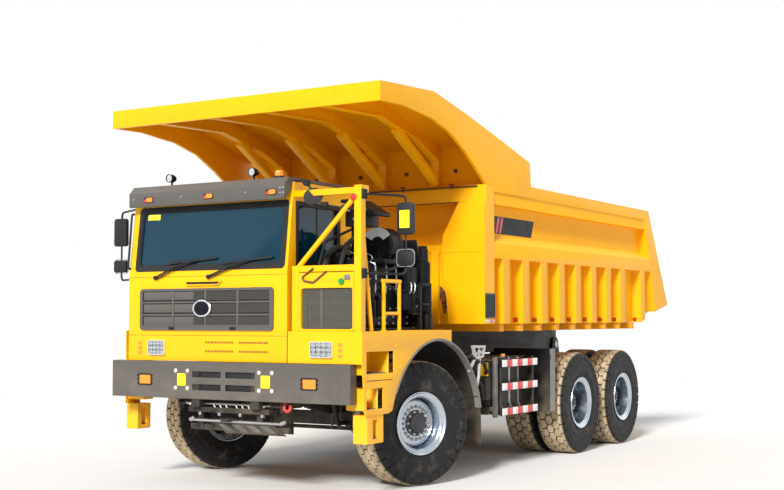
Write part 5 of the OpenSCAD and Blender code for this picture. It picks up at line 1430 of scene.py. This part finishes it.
def corner_window():
    """Barred opening low on each corner post: a dark sheet on the post's face is painted shade of the opening, behind
    bars.
    """
    back = Part().box((BODY_X, -2.086, 2.012), (BODY_X + 0.004, -1.828, 2.312))
    bars = Part().frame([(-2.092, 2.004), (-1.822, 2.004), (-1.822, 2.32), (-2.092, 2.32)],
                        [(-2.074, 2.022), (-1.84, 2.022), (-1.84, 2.302), (-2.074, 2.302)], "X", BODY_X, BODY_X + 0.01)
    for y in (-2.016, -1.957, -1.898):
        bars.box((BODY_X, y - 0.007, 2.02), (BODY_X + 0.01, y + 0.007, 2.304), 0.002)
    back.both_sides().finished("corner_windows", trim, TIPPING)
    bars.both_sides().finished("corner_window_bars", olive_steel, TIPPING)


def side_decals():
    """The bare black parallelogram with two red stripes on each side."""
    ground = Part().prism(((-1.6, 3.12), (-1.52, 3.352), (-0.3, 3.352), (-0.395, 3.12)), "X", SIDE_X, SIDE_X + 0.002)
    stripes = Part()
    for y in (-1.5, -1.395):
        stripes.prism([(y, 3.13), (y + 0.075, 3.342), (y + 0.135, 3.342), (y + 0.06, 3.13)], "X",
                      SIDE_X + 0.002, SIDE_X + 0.0035)
    ground.both_sides().finished("side_bands", gloss_black, TIPPING)
    stripes.both_sides().finished("side_stripes", red_paint, TIPPING)


def front_wall_parts():
    """Pipes along the front rail, lifting plugs on the wall and the latch beside each lower box."""
    pipes, plugs, latch, pins = Part(), Part(), Part(), Part()
    pipes.pipe([(-1.9, -2.066, 3.7), (1.9, -2.066, 3.7)], 0.012, 0.02, 8)
    pipes.pipe([(-1.62, -2.061, 3.5), (1.62, -2.061, 3.5)], 0.007, 0.02, 8)
    for x in (-1.53, -0.79, -0.05, 0.79, 1.53):
        pipes.box((x - 0.014, -2.088, 3.68), (x + 0.014, -2.053, 3.745), 0.005)
        pipes.rod((x - 0.03, -2.07, 3.735), (x + 0.03, -2.07, 3.735), 0.012, 8)
    pipes.finished("rail_pipes", brown_steel, TIPPING)
    for x in (-1.52, -0.78, -0.04, 0.7, 1.455):
        plugs.lathe([(0, 0), (0, 0.03), (-0.016, 0.028), (-0.022, 0.018), (-0.022, 0)], "Y", (x, WALL_Y, 3.945), 18)
    plugs.outward().finished("wall_plugs", brown_steel, TIPPING)
    latch.prism([(1.338, 2.425), (1.366, 2.402), (1.418, 2.335), (1.452, 2.288), (1.446, 2.16), (1.418, 2.062),
                 (1.392, 2.07), (1.362, 2.215), (1.334, 2.262)], "Y", -2.046, -2.0395)
    for x, z in ((1.365, 2.35), (1.398, 2.3), (1.412, 2.18), (1.405, 2.11)):
        pins.rod((x, -2.062, z), (x, -2.044, z), 0.017, 10, 0.004)
    pins.rod((1.398, -2.078, 2.24), (1.398, -2.044, 2.24), 0.034, 14, 0.006)
    latch.both_sides().finished("box_latches", brown_steel, TIPPING)
    pins.both_sides().finished("box_latch_pins", rust_red, TIPPING)


def weld_beads():
    """Weld lines where plates of the body meet."""
    beads = Part()
    x, y = BODY_X - 0.003, CORNER_Y + 0.004
    beads.pipe([(x, y, 3.475), (x, y, 1.96)], 0.006, 0.01, 6)
    y = CORNER_Y - 0.001
    for line, radius in ((((1.5, 1.95), (1.402, 2.86), (1.422, 3.08), (1.641, 3.48)), 0.006),
                         (((1.88, 1.95), (1.88, 3.46)), 0.005), (((1.42, 2.86), (2.01, 2.86)), 0.005)):
        beads.pipe([(x, y, z) for x, z in line], radius, 0.01, 6)
    beads.both_sides()
    for x in (SIDE_X + 0.002, -SIDE_X - 0.002):
        for back in RIB_BACK_Y:
            for edge in (back - RIB_W, back):
                beads.pipe([(x, edge, 1.96), (x, edge, 2.77)], 0.005, 0.01, 5)
    beads.finished("body_welds", bed_yellow, TIPPING)


def canopy_parts():
    """Lip flanges, edge beads and bolts of the canopy."""
    edge = Part().prism([(-0.712, 3.655), (-0.694, 3.655), (-0.735, 4.105), (-0.753, 4.11)], "X", 2.0175, 2.0215)
    edge.both_sides().box((-1.976, -4.5785, 4.428), (1.976, -4.545, 4.436), 0.002)
    edge.finished("canopy_edges", bed_yellow, TIPPING)
    places = [(x + dx, WALL_Y, z) for x in (0.41, 1.23) for z in (3.8, 3.9, 4.02) for dx in (-0.04, 0.04)]
    Part().bolts(places, 0.024, 0.012, "Y", -1).both_sides().finished("canopy_bolts", bed_yellow, TIPPING)


def tail_parts():
    """Hinge caps and the wear bars of the floor's tail."""
    caps, wear = Part(), Part()
    caps.lathe([(0, 0), (0, 0.062), (0.012, 0.062), (0.018, 0.052), (0.018, 0)], "X", (0.53, 3.4, 1.56), 20)
    caps.bolts([(0.548, 3.4 + 0.035 * math.cos(a), 1.56 + 0.035 * math.sin(a)) for a in (0, TAU / 3, TAU * 2 / 3)],
               0.016, 0.008)
    caps.both_sides().outward().finished("hinge_caps", steel)
    for k in range(7):
        x = -1.59 + 0.53 * k
        wear.box((x - 0.03, 4.2, 2.163), (x + 0.03, 4.7, 2.187), 0.003, Matrix.Rotation(math.radians(12.9), 4, "X"))
    wear.finished("tail_wear_bars", worn_steel, TIPPING)


# ---------------------------------------------------------------- chassis, tanks and running gear

TANK_X, TANK_Z = (0.7, 1.7), (0.72, 1.48)
GUARD_ROWS, GUARD_H = (0.71, 1.04, 1.35), 0.105
GUARD_Y, GUARD_PLATES = (-1.325, -0.225), 7


def side_guards():
    """Red and white plates on the faces of the black guard bars."""
    plates = Part(), Part()
    step = (GUARD_Y[1] - GUARD_Y[0]) / GUARD_PLATES
    for z in GUARD_ROWS:
        for k in range(GUARD_PLATES):
            y = GUARD_Y[0] + k * step
            plates[k % 2].box((1.8697, y + 0.002, z + 0.006), (1.874, y + step - 0.002, z + GUARD_H - 0.006), 0.001)
    plates[1].both_sides().finished("guard_red_plates", sign_red)
    plates[0].both_sides().finished("guard_white_plates", sign_white)


def tank_parts():
    """Bright straps with their bolts, and the filler caps of the tanks."""
    straps, caps, bolts = Part(), Part(), Part()
    (x0, x1), (z0, z1) = TANK_X, TANK_Z
    for y in (-1.08, -0.805, -0.53):
        straps.frame(rounded((x0 - 0.005, z0 - 0.005), (x1 + 0.005, z1 + 0.005), 0.048),
                     rounded((x0 + 0.001, z0 + 0.001), (x1 - 0.001, z1 - 0.001), 0.045), "Y", y, y + 0.052)
        for z in (0.8, 1.395):
            bolts.rod((1.718, y + 0.026, z - 0.03), (1.718, y + 0.026, z + 0.05), 0.008, 8)
            bolts.box((1.704, y + 0.006, z), (1.735, y + 0.046, z + 0.016), 0.003)
    caps.lathe([(0, 0), (0, 0.07), (0.012, 0.078), (0.034, 0.078), (0.042, 0.066), (0.044, 0)], "Z",
               (1.5, -1.24, 1.479), 24)
    for k in range(6):
        x, y = 1.5 + 0.078 * math.cos(TAU * k / 6), -1.24 + 0.078 * math.sin(TAU * k / 6)
        caps.rod((x, y, 1.494), (x, y, 1.511), 0.01, 6)
    straps.both_sides().finished("tank_straps", worn_steel)
    caps.both_sides().outward().finished("tank_caps", trim)
    bolts.both_sides().finished("tank_strap_bolts", steel)


def tank_front_boxes():
    """What stands before each tank: a black box with a yellow strip, a grey post and its arms."""
    boxes, strip, post, lamps = Part(), Part(), Part(), Part()
    boxes.box((1.44, -1.655, 0.935), (1.8, -1.399, 1.225), 0.012)
    boxes.box((1.44, -1.6, 1.225), (1.8, -1.399, 1.445), 0.012)
    boxes.box((1.8, -1.64, 0.95), (1.806, -1.53, 1.21), 0.003)
    strip.box((1.7, -1.612, 1.245), (1.806, -1.599, 1.425), 0.003)
    post.box((1.806, -1.49, 0.7), (1.862, -1.43, 1.49), 0.006)
    for z in (0.78, 1.4):
        post.box((1.6, -1.445, z), (1.85, -1.399, z + 0.055), 0.005)
    post.box((1.7, -1.315, 1.478), (1.86, -1.225, 1.4915), 0.003)
    lamps.box((1.835, -1.3, 1.492), (1.872, -1.24, 1.532), 0.006)
    boxes.both_sides().finished("side_boxes", black)
    strip.both_sides().finished("side_box_strips", yellow)
    post.both_sides().finished("side_posts", cast)
    lamps.both_sides().finished("side_lamps", amber)


def fender_parts():
    """Pale bracket and pipes on the tail of the front fenders, and the grey face of the rear plates."""
    bracket, hoses, plate = Part(), Part(), Part()
    bracket.frame([(-2.14, 1.66), (-1.78, 1.652), (-1.84, 1.5), (-2.05, 1.472)],
                  [(-2.095, 1.625), (-1.835, 1.62), (-1.87, 1.53), (-2.02, 1.512)], "X", 1.835, 1.868)
    bracket.pipe([(1.85, -2.06, 1.49), (1.85, -2.15, 1.4), (1.85, -2.225, 1.33)], 0.02, 0.03, 8)
    bracket.pipe([(1.85, -1.93, 1.485), (1.85, -1.955, 1.26), (1.85, -2.03, 1.095)], 0.02, 0.03, 8)
    bracket.rod((1.835, -1.95, 1.575), (1.872, -1.95, 1.575), 0.024, 14)
    bracket.box((1.843, -1.962, 1.5), (1.86, -1.938, 1.64), 0.003)
    hoses.pipe([(1.845, -2.33, 1.5), (1.85, -2.185, 1.531), (1.85, -1.99, 1.455), (1.845, -1.8, 1.421),
                (1.8, -1.62, 1.3), (1.76, -1.6, 1.28)], 0.022, 0.06)
    hoses.pipe([(1.8, -2.04, 1.115), (1.82, -1.85, 1.2), (1.81, -1.78, 1.02), (1.78, -1.7, 0.9), (1.74, -1.64, 1.0)],
               0.026, 0.08)
    hoses.pipe([(1.7, -2.105, 1.235), (1.72, -1.86, 1.33), (1.72, -1.74, 1.28), (1.7, -1.65, 1.18)], 0.018, 0.08)
    plate.prism([(0.154, 0.674), (0.326, 0.674), (0.326, 1.566), (0.17, 1.566), (0.155, 1.5), (0.2, 1.44),
                 (0.168, 1.4)], "X", 1.8897, 1.893)
    bracket.both_sides().finished("fender_brackets", pale_steel)
    hoses.both_sides().finished("fender_hoses", hose_rubber)
    plate.both_sides().finished("rear_plate_faces", plate_grey)


def axle_parts():
    """Spring clamps, dampers and brake pots round the axles."""
    clamps, pots, dampers = Part(), Part(), Part()
    for y in (-3.125, -2.985):
        for x in (0.376, 0.504):
            clamps.rod((x, y, 0.64), (x, y, 0.975), 0.012, 10)
            clamps.rod((x, y, 0.628), (x, y, 0.652), 0.02, 6)
    for a, b, radius, steps in (((0.6, -3.32, 0.7), (0.56, -3.42, 1.08), 0.032, 14),
                                ((0.56, -3.42, 1.08), (0.545, -3.46, 1.22), 0.042, 14),
                                ((0.5, -3.46, 1.22), (0.56, -3.46, 1.22), 0.022, 10),
                                ((0.6, -3.33, 0.7), (0.6, -3.13, 0.7), 0.024, 10)):
        dampers.rod(a, b, radius, steps)
    for y in REAR_Y:
        for dy in (-0.19, 0.19):
            pots.lathe([(0, 0), (0, 0.06), (0.02, 0.082), (0.07, 0.085), (0.078, 0.09), (0.086, 0.085), (0.13, 0.08),
                        (0.15, 0.055), (0.15, 0)], "X", (0.64, y + dy, 0.9), 20)
            pots.rod((0.64, y + dy, 0.9), (0.66, y, 0.76), 0.03, 10)
        pots.lathe([(0, 0.075), (0, 0.175), (0.025, 0.185), (0.035, 0.185), (0.035, 0.075)], "X",
                   (0.905, y, AXLE_Z), 28)
    clamps.both_sides().finished("spring_bolts", cast)
    pots.both_sides().outward().finished("brake_pots", black)
    dampers.both_sides().finished("dampers", black)


def tail_parts_of_frame():
    """Tail lamps in their frames, round lamps beside them and the plain plate at the tail beam."""
    houses, lenses, ambers = Part(), Part(), Part()
    for a, which in ((0.7, lenses), (0.83, ambers)):
        b = a + 0.12
        houses.frame(rounded((a, 1.12), (b, 1.23), 0.012), rounded((a + 0.01, 1.13), (b - 0.01, 1.22), 0.008), "Y",
                     3.75, 3.806)
        which.prism(rounded((a + 0.0105, 1.1305), (b - 0.0105, 1.2195), 0.008), "Y", 3.752, 3.802, 0.003)
    lenses.rod((0.62, 3.7495, 1.17), (0.62, 3.756, 1.17), 0.036, 20)
    houses.both_sides().finished("tail_lamp_frames", trim, replaces=("tail_lamps",))
    lenses.both_sides().finished("tail_lamp_lenses", red)
    ambers.both_sides().finished("tail_flashers", amber)
    plate = Part().prism(rounded((-0.48, 1.125), (-0.2, 1.215), 0.01), "Y", 3.7495, 3.7535)
    plate.finished("tail_plate", sign_white, slot="polished_rod")


def under_parts():
    """Air tanks between the rails, the pipes along them and the drive's flanges."""
    tanks, lines, flanges = Part(), Part(), Part()
    for y in (-0.1, 0.18):
        tanks.lathe([(0, 0), (0.02, 0.07), (0.05, 0.088), (0.232, 0.088), (0.262, 0.07), (0.282, 0)], "X",
                    (0.1, y, 1.29), 20)
    for line in ([(0.51, -3.9, 1.34), (0.51, -2.4, 1.34), (0.51, 0.3, 1.34), (0.51, 2.9, 1.34)],
                 [(0.51, -3.9, 1.3), (0.51, 1.0, 1.3), (0.56, 1.15, 1.05), (0.64, 1.15, 0.985)],
                 [(0.51, 1.0, 1.29), (0.52, 2.6, 1.29), (0.57, 2.8, 1.05), (0.64, 2.84, 0.985)]):
        lines.pipe(line, 0.01, 0.05, 8)
    for y in (0.845, 1.52, 2.6):
        flanges.lathe([(-0.015, 0), (-0.015, 0.082), (0.015, 0.082), (0.015, 0)], "Y", (0, y, AXLE_Z), 24)
        flanges.bolts([(0.064 * math.cos(TAU * k / 8), y - 0.015, AXLE_Z + 0.064 * math.sin(TAU * k / 8))
                       for k in range(8)], 0.016, 0.01, "Y", -1)
    tanks.both_sides().outward().finished("air_tanks", black)
    lines.both_sides().finished("frame_pipes", hose_rubber)
    flanges.finished("drive_flanges", cast)


def hoist_parts():
    """Gland rings and the hose of the hoist."""
    rings = Part()
    rings.lathe([(0, 0.146), (0, 0.152), (0.06, 0.152), (0.066, 0.146)], "Z", (0, -2.305, 2.63), 36)
    rings.lathe([(0, 0.146), (0, 0.152), (0.04, 0.152), (0.04, 0.146)], "Z", (0, -2.305, 1.32), 36)
    rings.outward().finished("hoist_rings", cast, "hoist_tube_0")
    hose = Part().pipe([(0.1, -2.43, 1.36), (0.16, -2.47, 1.3), (0.22, -2.42, 1.12), (0.3, -2.3, 1.062)], 0.02, 0.06)
    hose.finished("hoist_hose", hose_rubber, "hoist_tube_0")


# ---------------------------------------------------------------- the pieces, one group after another

for make in (windscreen, visor_details, grille, front_handle, headlamps, front_panels, bumper_details, under_bumper,
             cab_lining, dashboard, window_trims, arch_trim, deck_details, step_treads, guard_post_parts, mirrors,
             radiator_cowl, engine_block, intake, exhaust, markers, corner_window, side_decals, front_wall_parts,
             weld_beads, canopy_parts, tail_parts, side_guards, tank_parts, tank_front_boxes, fender_parts, axle_parts,
             tail_parts_of_frame, under_parts, hoist_parts):
    make()
seat("driver", -1.05)
seat("passenger", 0.35)

# ---------------------------------------------------------------- plain CAD nodes take a finish

NODE_FINISH = {name: finish for finish, names in (
    (engine_black, ("engine", "air_intake", "exhaust")), (cast, ("driveline",)), (seat_cloth, ("seats",)),
    (window_glass, ("cab_glass", "door_glass")), (cab_trim, ("dashboard",)), (trim, ("mirrors",)),
    (reflector, ("work_lamps",)), (amber, ("amber_lamps",)), (red, ("tail_lamps",)), (under_paint, ("underframe",)),
    (chrome, ("hoist_stage_1", "hoist_stage_2", "hoist_rod")),
    (warm_grey, ("front_bumper", "cab_roof", "grille_panel")),
    (yellow, ("deck", "step_panels", "guard_frame", "cab_shell", "cab_door")),
    (bed_yellow, ("body_shell", "body_front", "canopy", "canopy_ribs")),
) for name in names}

for name, node in nodes.items():
    node.data.materials.clear()
    node.data.materials.append(NODE_FINISH.get(name, black))
